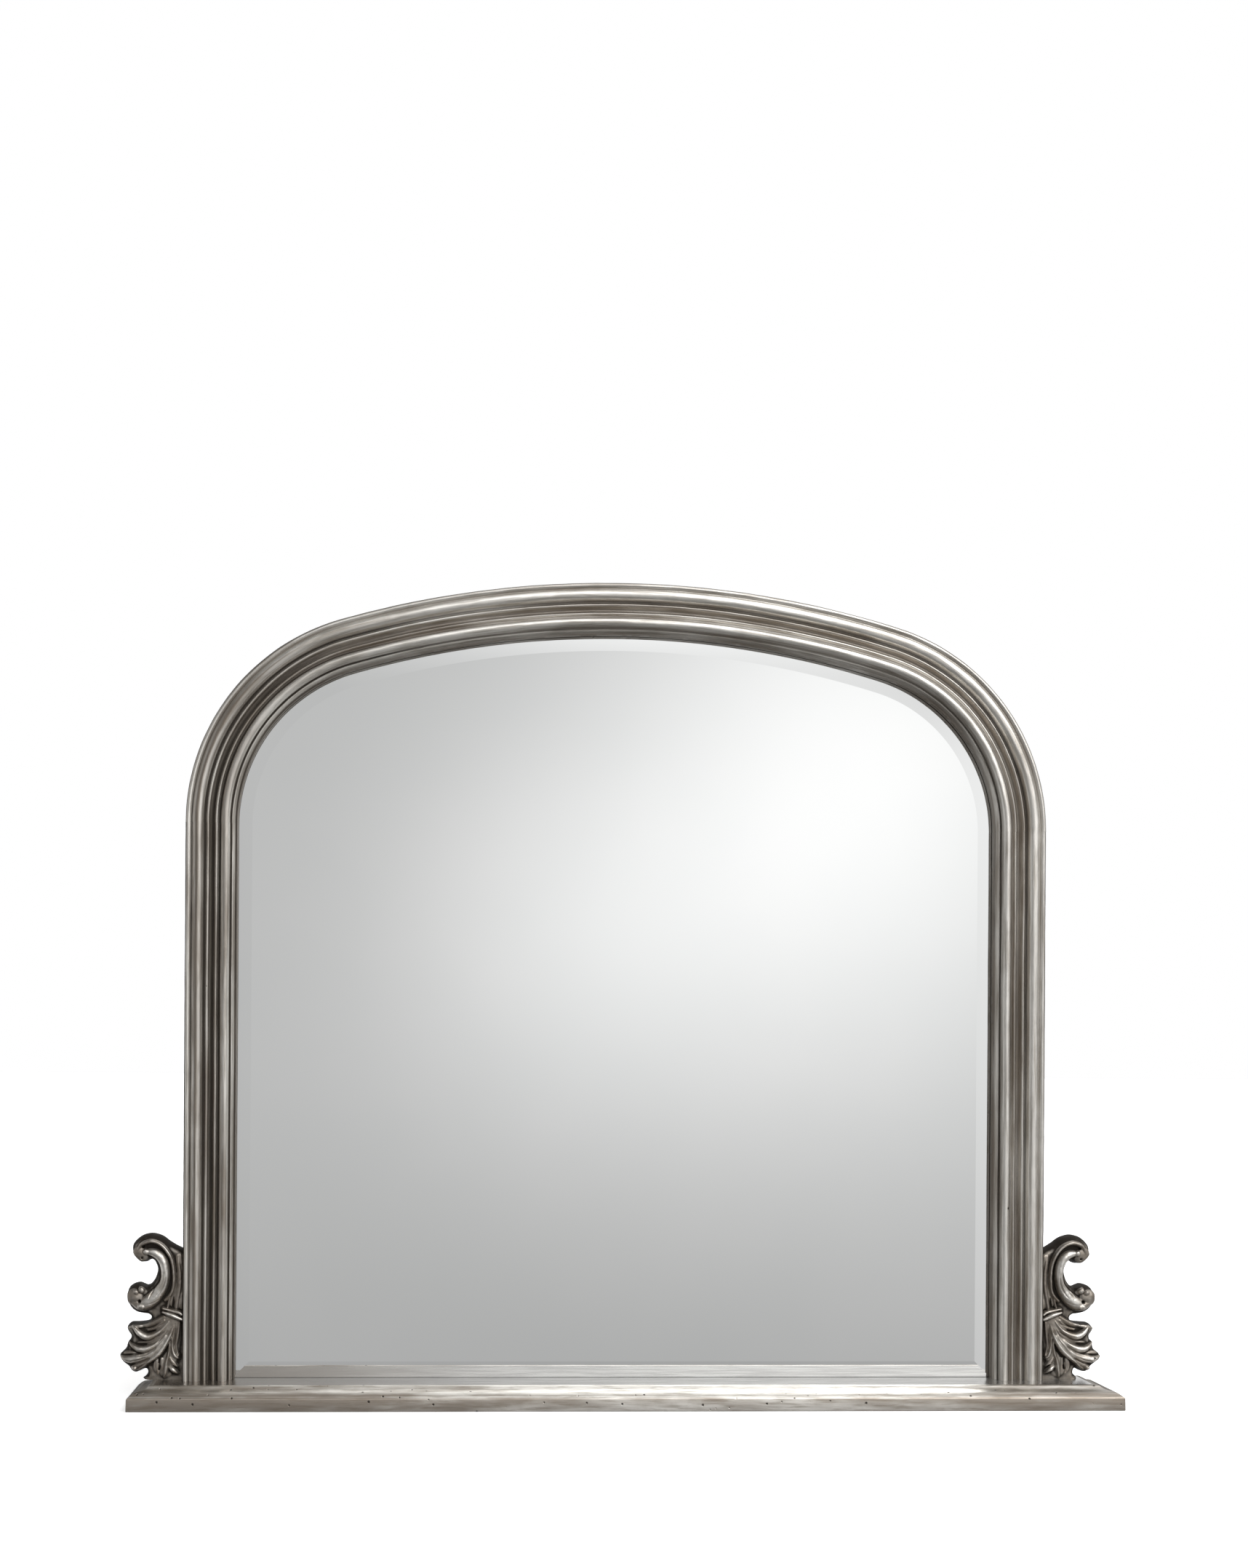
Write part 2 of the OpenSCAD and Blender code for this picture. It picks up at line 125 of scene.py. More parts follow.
def make_mesh(name, vertices, faces, uvs=None, values=None, material=None, smooth=True):
    """A mesh object from arrays. uvs and the named values are per vertex."""
    mesh = bpy.data.meshes.new(name)
    mesh.from_pydata([tuple(v) for v in vertices], [], [tuple(int(i) for i in f) for f in faces])
    mesh.validate()
    if uvs is not None:
        layer = mesh.uv_layers.new(name="UVMap")
        loops = np.zeros(len(mesh.loops), dtype=np.int64)
        mesh.loops.foreach_get("vertex_index", loops)
        layer.data.foreach_set("uv", np.asarray(uvs, dtype=np.float32)[loops].ravel())
    for key, numbers in (values or {}).items():
        layer = mesh.attributes.new(key, "FLOAT", "POINT")
        layer.data.foreach_set("value", np.asarray(numbers, dtype=np.float32))
    mesh.polygons.foreach_set("use_smooth", [smooth] * len(mesh.polygons))
    if material:
        mesh.materials.append(material)
    piece = bpy.data.objects.new(name, mesh)
    bpy.context.scene.collection.objects.link(piece)
    return piece


def ring_faces(count, size):
    """Faces that join a row of equal rings of points into a bar with closed ends."""
    faces = [(i * size + j, i * size + (j + 1) % size, (i + 1) * size + (j + 1) % size, (i + 1) * size + j)
             for i in range(count - 1) for j in range(size)]
    return faces + [list(range(size)), list(range((count - 1) * size, count * size))]


def fix_shading(piece, degrees):
    """Turns the faces outward and stops smooth shading at edges sharper than an angle."""
    bm = bmesh.new()
    bm.from_mesh(piece.data)
    bmesh.ops.recalc_face_normals(bm, faces=bm.faces)
    for edge in bm.edges:
        if len(edge.link_faces) == 2 and edge.calc_face_angle(0) > math.radians(degrees):
            edge.smooth = False
    bm.to_mesh(piece.data)
    bm.free()


# ---- Node materials ----------------------------------------

class Graph:
    """A node tree, with short calls for the nodes that the materials and the world share."""

    def __init__(self, owner):
        owner.use_nodes = True
        self.tree = owner.node_tree
        self.tree.nodes.clear()

    def link(self, source, target):
        self.tree.links.new(source, target)

    def feed(self, socket, value):
        if isinstance(value, bpy.types.NodeSocket):
            self.link(value, socket)
        elif value is not None:
            socket.default_value = value

    def node(self, kind, **settings):
        made = self.tree.nodes.new(kind)
        for key, value in settings.items():
            setattr(made, key, value)
        return made

    def math(self, operation, a, b=None, c=None, clamp=False):
        made = self.node("ShaderNodeMath", operation=operation, use_clamp=clamp)
        for socket, value in zip(made.inputs, (a, b, c)):
            self.feed(socket, value)
        return made.outputs[0]

    def coordinates(self, output):
        return self.node("ShaderNodeTexCoord").outputs[output]

    def stretched(self, source, scale):
        made = self.node("ShaderNodeMapping")
        self.link(source, made.inputs["Vector"])
        made.inputs["Scale"].default_value = scale
        return made.outputs[0]

    def noise(self, vector, scale, detail=4.0, roughness=0.55):
        made = self.node("ShaderNodeTexNoise")
        self.link(vector, made.inputs["Vector"])
        made.inputs["Scale"].default_value = scale
        made.inputs["Detail"].default_value = detail
        made.inputs["Roughness"].default_value = roughness
        return made.outputs["Fac"]

    def ramp(self, value, low, high, out_low=0.0, out_high=1.0):
        """Maps low..high of a value to out_low..out_high, smoothly and clamped."""
        made = self.node("ShaderNodeMapRange", interpolation_type="SMOOTHSTEP")
        self.feed(made.inputs["Value"], value)
        limits = {"From Min": low, "From Max": high, "To Min": out_low, "To Max": out_high}
        for key, number in limits.items():
            made.inputs[key].default_value = number
        return made.outputs["Result"]

    def mix(self, amount, a, b):
        made = self.node("ShaderNodeMix", data_type="RGBA")
        self.feed(made.inputs["Factor"], amount)
        self.feed(made.inputs["A"], a if isinstance(a, bpy.types.NodeSocket) else (*a, 1.0))
        self.feed(made.inputs["B"], b if isinstance(b, bpy.types.NodeSocket) else (*b, 1.0))
        return made.outputs["Result"]

    def attribute(self, name):
        return self.node("ShaderNodeAttribute", attribute_name=name).outputs["Fac"]

    def bump(self, height, distance, strength=1.0, below=None):
        made = self.node("ShaderNodeBump")
        self.link(height, made.inputs["Height"])
        made.inputs["Distance"].default_value = distance
        made.inputs["Strength"].default_value = strength
        if below:
            self.link(below, made.inputs["Normal"])
        return made.outputs["Normal"]


class Surface(Graph):
    """A material's graph: a principled shader and what feeds it."""

    def __init__(self, name):
        self.material = bpy.data.materials.new(name)
        super().__init__(self.material)
        self.shader = self.node("ShaderNodeBsdfPrincipled")
        self.output = self.node("ShaderNodeOutputMaterial")
        self.link(self.shader.outputs["BSDF"], self.output.inputs["Surface"])

    def finish(self, colour=None, roughness=None, metallic=None, normal=None):
        self.feed(self.shader.inputs["Base Color"], colour)
        self.feed(self.shader.inputs["Roughness"], roughness)
        self.feed(self.shader.inputs["Metallic"], metallic)
        self.feed(self.shader.inputs["Normal"], normal)
        return self.material


LEAF_LIGHT = (0.78, 0.755, 0.71)
LEAF_DULL = (0.46, 0.43, 0.385)
PATINA = (0.036, 0.030, 0.024)
GLAZE = (0.20, 0.163, 0.127)


def silver_leaf(name, along, across, streak=0.5, dull=0.35, patina=PATINA, shine=0.36, mottle=30.0,
                pit_cells=26.0, pit_rarity=0.80, pit_size=0.06, pit_wax=-1.0):
    """Antique silver leaf.

    along and across set how fine its streaks are on the UV map, and streak how much they pull dirt
    out of the hollows. dull is the strength of the dull blotches, mottle how fine they are, and
    shine the roughness of the best leaf. The pits lie in cells, pit_cells to the metre: pit_rarity
    is the share of cells without one, pit_size their reach in cells, and pit_wax the wax that a
    place needs to have them.

    The mesh brings two values per vertex: cavity, above 0 in hollows and where shade is painted, and glaze,
    the share of brown wax left on the leaf, which also carries painted shade and painted highlights.
    """
    g = Surface(name)
    uv = g.coordinates("UV")
    place = g.coordinates("Object")
    glaze = g.attribute("glaze")
    streaks = g.noise(g.stretched(uv, (along, across, 1.0)), 1.0, 5.0, 0.6)
    broad = g.noise(g.stretched(uv, (along * 0.5, across * 0.18, 1.0)), 1.0, 3.0, 0.5)
    blotches = g.noise(place, mottle, 4.0, 0.6)
    fine = g.noise(place, 420.0, 3.0, 0.6)

    leaf = g.mix(g.ramp(streaks, 0.32, 0.56), LEAF_DULL, LEAF_LIGHT)
    leaf = g.mix(g.ramp(blotches, 0.50, 0.75, 0.0, dull), leaf, LEAF_DULL)
    brown = g.math("ADD", glaze, g.math("MULTIPLY", g.math("SUBTRACT", broad, 0.5), 1.5))
    brown = g.ramp(brown, 0.05, 0.95, 0.0, 0.85)
    colour = g.mix(brown, leaf, GLAZE)
    # Dirt in hollows, with the painted shade that the cavity values bring
    dirt = g.math("ADD", g.attribute("cavity"), g.math("MULTIPLY", g.math("SUBTRACT", streaks, 0.5), streak))
    dirt_and_shade_mask = g.ramp(dirt, 0.14, 0.62)
    colour = g.mix(dirt_and_shade_mask, colour, patina)

    cells = g.node("ShaderNodeTexVoronoi")
    g.link(place, cells.inputs["Vector"])
    cells.inputs["Scale"].default_value = pit_cells
    pick = g.node("ShaderNodeSeparateColor")
    g.link(cells.outputs["Color"], pick.inputs[0])
    pits = g.math("MULTIPLY", g.ramp(cells.outputs["Distance"], pit_size, pit_size / 2),
                  g.ramp(pick.outputs[0], pit_rarity, pit_rarity + 0.01))
    pits = g.math("MULTIPLY", pits, g.ramp(glaze, pit_wax, pit_wax + 0.08))
    colour = g.mix(g.math("MULTIPLY", pits, 0.9), colour, patina)

    roughness = g.math("ADD", g.ramp(streaks, 0.3, 0.7, shine + 0.1, shine), g.math("MULTIPLY", dirt_and_shade_mask, 0.2))
    metallic = g.math("SUBTRACT", 0.95, g.math("MULTIPLY", dirt_and_shade_mask, 0.75))
    g.feed(g.shader.inputs["Specular IOR Level"], g.ramp(dirt_and_shade_mask, 0.0, 1.0, 0.5, 0.1))
    relief = g.bump(fine, 0.0002, 0.15, g.bump(streaks, 0.0004, 0.35))
    relief = g.bump(g.math("SUBTRACT", 1.0, pits), 0.0012, 0.8, relief)
    return g.finish(colour, roughness, metallic, relief)


# ---- Moulding ----------------------------------------------

# Drawn in millimetres on a face DRAWN_W wide. Beads: centre from the outer edge, height of the
# centre, radius
BEADS = [
    (3.6, MOULD_D - 2.8, 2.8), (14.8, MOULD_D - 5.5, 7.0), (27.0, CHANNEL_D + 2, 2.3),
    (37.8, CHANNEL_D + 2.6, 2.0), (49.0, MOULD_D - 5.5, 5.5), (57.3, STEP_D - 1.6, 1.6)]
# Stepped ground between the beads: distance from the outer edge, height
GROUND = [
    (0, MOULD_D - 3.5), (1, MOULD_D - 2.5), (6, MOULD_D - 2.5), (8.5, MOULD_D - 3), (18, MOULD_D - 5),
    (21, CHANNEL_D + 3), (24, CHANNEL_D + 2), (29, CHANNEL_D), (35, CHANNEL_D), (40, CHANNEL_D + 2),
    (44, CHANNEL_D + 2), (45, MOULD_D - 6), (53, MOULD_D - 6), (54, STEP_D - 1), (59, STEP_D - 2),
    (60.5, SIGHT_D + 0.8), (62, SIGHT_D)]
HOLLOW = (32.7, CHANNEL_D + 1, 2.6)
# Share of brown wax left on the leaf: distance from the outer edge, share
WAX = [
    (0, 0.9), (1.5, 0.45), (5, 0.25), (7.5, 0.75), (9, 0.15), (20, 0.12), (23, 0.75), (27, 0.45), (32, 0.95),
    (38, 0.6), (42, 0.9), (45, 0.2), (53, 0.15), (55, 0.7), (57, 0.4), (62, 0.8)]
TORUS_AT, TORUS_HALF = 15, 6
RIDGE_AT, RIDGE_HALF = 49, 4
WORN_AT, WORN_HALF = 14.2, 1.6     # brown streak down the torus of the uprights

# At full size again: round the rebate and the back to the outer wall, as distance from the outer
# edge, height, dirt
BACK = np.array([
    (MOULD_W, REBATE_D, 0.1), (MOULD_W - REBATE_W, REBATE_D, 1.4), (MOULD_W - REBATE_W, 0.0, 1.4),
    (MOULD_W / 2, 0.0, 1.4), (0.0, 0.0, 0.9), (0.0, 8.0, 0.62), (0.0, 16.0, 0.55), (0.0, 22.0, 0.55)])
BACK_WAX = 0.8
RUN_STEP = 0.0035          # metres between rings along a member
SECTION_STEP = 0.35
SOFTEN = 0.70              # how far gesso and leaf soften the arrises
SINK_REACH = 2.6           # reach over which a hollow is told from its surroundings
WAVER, DENTS = 0.40, 0.18  # unevenness of the hand finished face
DRIFT = 0.35               # how far the section wanders across
WEAR = 0.55                # how far the outer edge is worn back
# Darkening at the outer edge, by member: dark paint on the edge, with painted shade, heaviest on the
# uprights
EDGE_DIRT_AND_SHADE = {"straight": 0.9, "haunch": 0.4, "crown": 0.4}
LIP_DIRT = 0.10            # dirt at the sight edge


def section_heights(s):
    """Height of the moulding's face above its back, at distances s from the outer edge."""
    drawn = s * DRAWN_W / MOULD_W
    h = np.interp(drawn, *zip(*GROUND))
    for centre, level, radius in BEADS:
        inside = np.abs(drawn - centre) < radius
        h[inside] = np.maximum(h[inside], level + np.sqrt(radius ** 2 - (drawn[inside] - centre) ** 2))
    centre, level, radius = HOLLOW
    inside = np.abs(drawn - centre) < radius
    h[inside] = np.minimum(h[inside], level - np.sqrt(radius ** 2 - (drawn[inside] - centre) ** 2))
    return blur(h, SOFTEN / SECTION_STEP)


def member_path(kind):
    """Outer edge points, inward directions (both x, z) and run along one member of the frame."""
    if kind == "straight":
        z = np.linspace(FOOT_Z, SPRING_Z, int(LEG_RUN / RUN_STEP) + 1)
        points = np.stack([np.full_like(z, -HALF_W), z], 1)
        inward = np.tile([1.0, 0.0], (len(z), 1))
        return points, inward, z - FOOT_Z
    if kind == "haunch":
        centre, radius, before = (-HAUNCH_X, SPRING_Z), HAUNCH_R, LEG_RUN
        start, end = math.pi, JOINT_A
    else:
        centre, radius, before = (0.0, CROWN_Z), CROWN_R, LEG_RUN + HAUNCH_RUN
        start, end = JOINT_A, math.pi / 2 - CROWN_HALF
    a = np.linspace(start, end, int(abs(start - end) * radius / RUN_STEP) + 1)
    outward = np.stack([np.cos(a), np.sin(a)], 1)
    return np.array(centre) + radius * outward, -outward, before + np.abs(a - start) * radius


def shade_and_patina_left(x):
    """Painted shade, with the patina, across the frame: how much of both is kept at each place, most on the
    left, away from the light, and least on the crown's right, where the light falls.
    """
    return np.interp(x, [-0.56, -0.48, -0.25, 0.30, 0.56], [1.0, 0.9, 0.46, 0.36, 0.58])


def section_marks(s, plain, kind):
    """Dirt, edge dirt with painted shade, wax, worn streak and crests along a member's closed section."""
    across = np.concatenate([s, BACK[:, 0]])
    drawn = across * DRAWN_W / MOULD_W
    on_face = np.arange(len(across)) < len(s)
    sunk = (blur(plain, SINK_REACH / SECTION_STEP) - plain) / SINK_REACH
    cavity = np.concatenate([sunk, BACK[:, 2]])
    # Dark paint and painted shade at the outer edge, and a little dirt at the sight edge
    edge = EDGE_DIRT_AND_SHADE[kind] * np.clip(1 - across / 3.0, 0, 1)
    edge = edge + LIP_DIRT * np.clip((across - MOULD_W + 3.0) / 1.5, 0, 1)
    wax = np.where(on_face, np.interp(drawn, *zip(*WAX)), BACK_WAX)
    streak = np.exp(-((drawn - WORN_AT) / WORN_HALF) ** 2)
    on_crest = (np.abs(drawn - TORUS_AT) < TORUS_HALF) | (np.abs(drawn - RIDGE_AT) < RIDGE_HALF)
    return cavity, edge, wax, streak, 0.7 * on_crest * on_face


def frame_member(node, kind, side, seed, material):
    """One member of the moulded frame, hand finished, that replaces its node."""
    points, inward, run = member_path(kind)
    if side < 0:
        run = RUN_ALL - run
    s = np.arange(0, MOULD_W + SECTION_STEP / 2, SECTION_STEP)
    s[-1] = MOULD_W
    plain = section_heights(s)
    cavity, edge, wax, streak, crests = section_marks(s, plain, kind)
    across = np.concatenate([s, BACK[:, 0]])
    level = np.concatenate([plain, BACK[:, 1]])
    around = np.concatenate([[0], np.cumsum(np.hypot(np.diff(across), np.diff(level)))])
    wall = (BACK[:, 0] == 0) & (BACK[:, 1] > 0)
    inside_edges = np.clip(np.minimum(s, MOULD_W - s) / 4, 0, 1)
    offset = np.array([0.0, seed * 3.1, 0.0])
    flat = np.zeros_like(s)
    rings, uvs = [], []
    for point, direction, at in zip(points, inward, run):
        waver = smooth_noise(np.stack([flat + at * 11, s * 0.11, flat], 1) + offset, 1.0, 3)
        dents = smooth_noise(np.stack([flat + at * 70, s * 0.30, flat], 1) + offset, 1.0, 5)
        drift = DRIFT * smooth_noise([(at * 9, seed, 0.0)], 1.0, 7)[0]
        worn = WEAR * abs(smooth_noise([(at * 13, seed, 4.0), (at * 43, seed, 9.0)], 1.0, 8)).mean()
        face_place = s + drift * inside_edges + worn * np.clip(1 - s / 4, 0, 1)
        place = np.concatenate([face_place, BACK[:, 0] + worn * wall])
        height = np.concatenate([plain + WAVER * waver + DENTS * dents, BACK[:, 1]])
        x = point[0] + direction[0] * place * MM
        z = point[1] + direction[1] * place * MM
        rings.append(np.stack([side * x + CENTRE_X, BACK_Y - height * MM, z], 1))
        uvs.append(np.stack([np.full_like(around, at), around * MM], 1))
    # Painted shade and highlight: hollow dirt, wax, the streak and the crests are darker and browner on the
    # left, and the crests and the streak are a painted highlight on the crown's right
    left = shade_and_patina_left(side * points[:, 0])
    dirt = np.outer(left, cavity) + np.outer(left - 0.4, streak) + edge
    glaze = np.outer(0.75 + 0.25 * left, wax) + np.outer(left - 0.5, crests + streak)
    piece = make_mesh(node + "_moulding", np.concatenate(rings), ring_faces(len(rings), len(across)),
                      np.concatenate(uvs), {"cavity": dirt.ravel(), "glaze": glaze.ravel()}, material)
    fix_shading(piece, 70)
    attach(piece, BODY)
    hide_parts(node)


# ---- Plinth ------------------------------------------------

EDGING_W = (edge_hi.y - edge_lo.y) / MM
PLINTH_H = (edge_hi.z - edge_lo.z) / MM
FASCIA_H = 18.0
RIPPLE = 0.22              # how far wear eats into the edging
# Up the edging's face: height, dirt, wax. The dirt at the very bottom is a painted shadow line along the
# floor.
FACE_MARKS = [
    (0, 0.75, 0.6), (1.2, -0.1, 0.35), (8, -0.02, 0.45), (FASCIA_H - 3, 0.17, 0.65),
    (FASCIA_H - 1, 0.16, 0.5), (FASCIA_H + 0.2, -0.3, 0.1), (FASCIA_H + 1.2, 0.26, 0.5),
    (FASCIA_H + 4, -0.05, 0.15), (PLINTH_H - 1.5, -0.05, 0.15), (PLINTH_H, -0.15, 0.2)]
END_DIRT_AND_SHADE = 0.5             # dirt and painted shade on the two ends
# Stretch of the plinth kept free of wax as a painted highlight, and over how many metres brown wax, partly
# painted shade, comes in beside it
PAINTED_HIGHLIGHT_X, PAINTED_HIGHLIGHT_HALF, PAINTED_HIGHLIGHT_FADE = 0.10, 0.18, 0.30
END_WAX_AND_SHADE = 0.42


def edging_outline():
    """Section of the plinth's edging in millimetres: out from the board, height."""
    face = [(EDGING_W, 0.6), (EDGING_W, 2.2), (EDGING_W - 0.3, FASCIA_H - 2.6),
            (EDGING_W - 0.9, FASCIA_H - 1.4), (EDGING_W - 2.2, FASCIA_H - 0.3),
            (EDGING_W - 3.0, FASCIA_H + 0.3)]
    slope_start, slope_end = EDGING_W - 3.4, 5.5
    for t in np.linspace(0, 1, 26):
        out = slope_start + (slope_end - slope_start) * t
        rise = t + 0.13 * math.sin(2 * math.pi * t)
        face.append((out, FASCIA_H + 0.6 + (PLINTH_H - FASCIA_H - 1.0) * rise))
    return face + [(4.6, PLINTH_H - 0.15), (3.4, PLINTH_H), (0.0, PLINTH_H)]


def edging_piece(node, side, material):
    """The edging along the front (side 0) or one end of the plinth, with its mitres."""
    outline = np.array(edging_outline() + [(0.0, 0.0), (EDGING_W - 0.8, 0.0)])
    out, up = outline[:, 0] * MM, outline[:, 1] * MM
    half = board_hi.x
    front = board_lo.y
    around = np.concatenate([[0], np.cumsum(np.hypot(np.diff(out), np.diff(up)))])
    steps = 26 if side else 260
    levels, level_dirt, level_wax = zip(*FACE_MARKS)
    # Dirt up the face, with a painted shadow line at the foot, and dirt with painted shade on the two ends
    dirt = np.interp(outline[:, 1], levels, level_dirt) + END_DIRT_AND_SHADE * abs(side)
    plain_wax = np.interp(outline[:, 1], levels, level_wax)
    rings, uvs, wax = [], [], []
    for t in np.linspace(0, 1, steps + 1):
        if side == 0:
            run = (2 * t - 1) * (half + out)
            x, y = run, np.full_like(out, front) - out
        else:
            run = board_hi.y + (front - out - board_hi.y) * t
            x, y = side * (half + out), run
        wear = smooth_noise(np.stack([run * 14, around * 60, np.full_like(run, side * 3.0)], 1), 1.0, 11)
        sunk = np.abs(np.where(outline[:, 0] > 0.5, wear, 0)) * RIPPLE * MM
        x, y = (x, y + sunk) if side == 0 else (x - side * sunk, y)
        rings.append(np.stack([x, y, up - np.where(up > 0.001, sunk, 0)], 1))
        uvs.append(np.stack([run, around], 1))
        # Painted highlight in the plinth's middle, and beside it brown wax that is partly painted shade
        beside = np.clip((np.abs(x - PAINTED_HIGHLIGHT_X) - PAINTED_HIGHLIGHT_HALF) / PAINTED_HIGHLIGHT_FADE, 0, 1)
        wax.append(plain_wax + END_WAX_AND_SHADE * beside)
    values = {"cavity": np.tile(dirt, len(rings)), "glaze": np.concatenate(wax)}
    piece = make_mesh(node + "_moulding", np.concatenate(rings), ring_faces(len(rings), len(outline)),
                      np.concatenate(uvs), values, material)
    fix_shading(piece, 40)
    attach(piece, BODY)
    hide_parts(node)


# ---- Carved scroll brackets --------------------------------
# Drawn for the left bracket in millimetres: u outward from the upright, v above the plinth.

OUTLINE = [
    (0, 166), (5, 168.6), (11, 171.5), (20, 177), (26.5, 182), (33.5, 185.2), (42.7, 186.8), (52, 185),
    (59, 181), (65, 174.6), (67, 167.7), (65.4, 161.5), (61, 155.4), (55.8, 151), (51, 150),
    (47.3, 150.8), (42.7, 153.4), (39, 152), (36.5, 147.7), (34.6, 141.5), (35.4, 135.4), (38, 128.5),
    (42.7, 122.3), (47.5, 120.2), (52, 121.8), (57.3, 123.5), (63.5, 122.3), (68.8, 119.2),
    (71.8, 114.6), (72.8, 108.5), (72.3, 101.5), (70, 94.6), (65.8, 89.2), (59.6, 85.4), (52, 83.8),
    (46, 83), (42.4, 80), (43.6, 76), (48, 73.8), (58, 72.7), (66.5, 72.4), (70.8, 69.9), (73, 65.6),
    (71.2, 60.7), (68, 55.7), (68.7, 51.4), (72.2, 46.4), (74, 40), (78, 35.4), (81.6, 31.7),
    (82, 28.2), (79.6, 23.7), (75.6, 19.5), (70.8, 15.9), (67.3, 10.9), (62.3, 8), (56.6, 9.5),
    (51, 12.2), (47.4, 12), (46.4, 8), (48.8, 3.8), (53, 0)]
GRID = 0.5
U0, V0 = -1.5, -1.5
SCROLL_D = 30.0
BODY_H = 18.5              # level of the mass that the carving stands on
ROUND_W = 7.5              # width over which that mass rounds off to the sawn edge
EDGE_H = 3.0               # height of the sawn edge
REACH_U = 82.2             # how far a bracket reaches out, at most
HOLLOW_BLUR = 5.0          # in grid steps, for the mean height that a hollow is told from
HOLLOW_DROP = 3.8          # drop below that mean at which a hollow is full of dirt
RIM_DIRT_AND_SHADE, RIM_W = 0.6, 7   # dirt and painted shade towards the sawn edge, and its width
# Darker low down: amount, height below which it starts, fall to its full amount
LOW_DARKENING = [(0.24, 21, 2.5), (0.12, 26.5, 4)]
# Wax below a height, and what is rubbed off over the rise above it
LOW_WAX, RUBBED, RUB_H, RUB_RISE = 0.78, 0.50, 23.5, 4.5
TOOLING = 0.28             # height of the tool marks
RIGHT_WARP = 1.6           # how far the right bracket, carved by hand too, strays from the left one

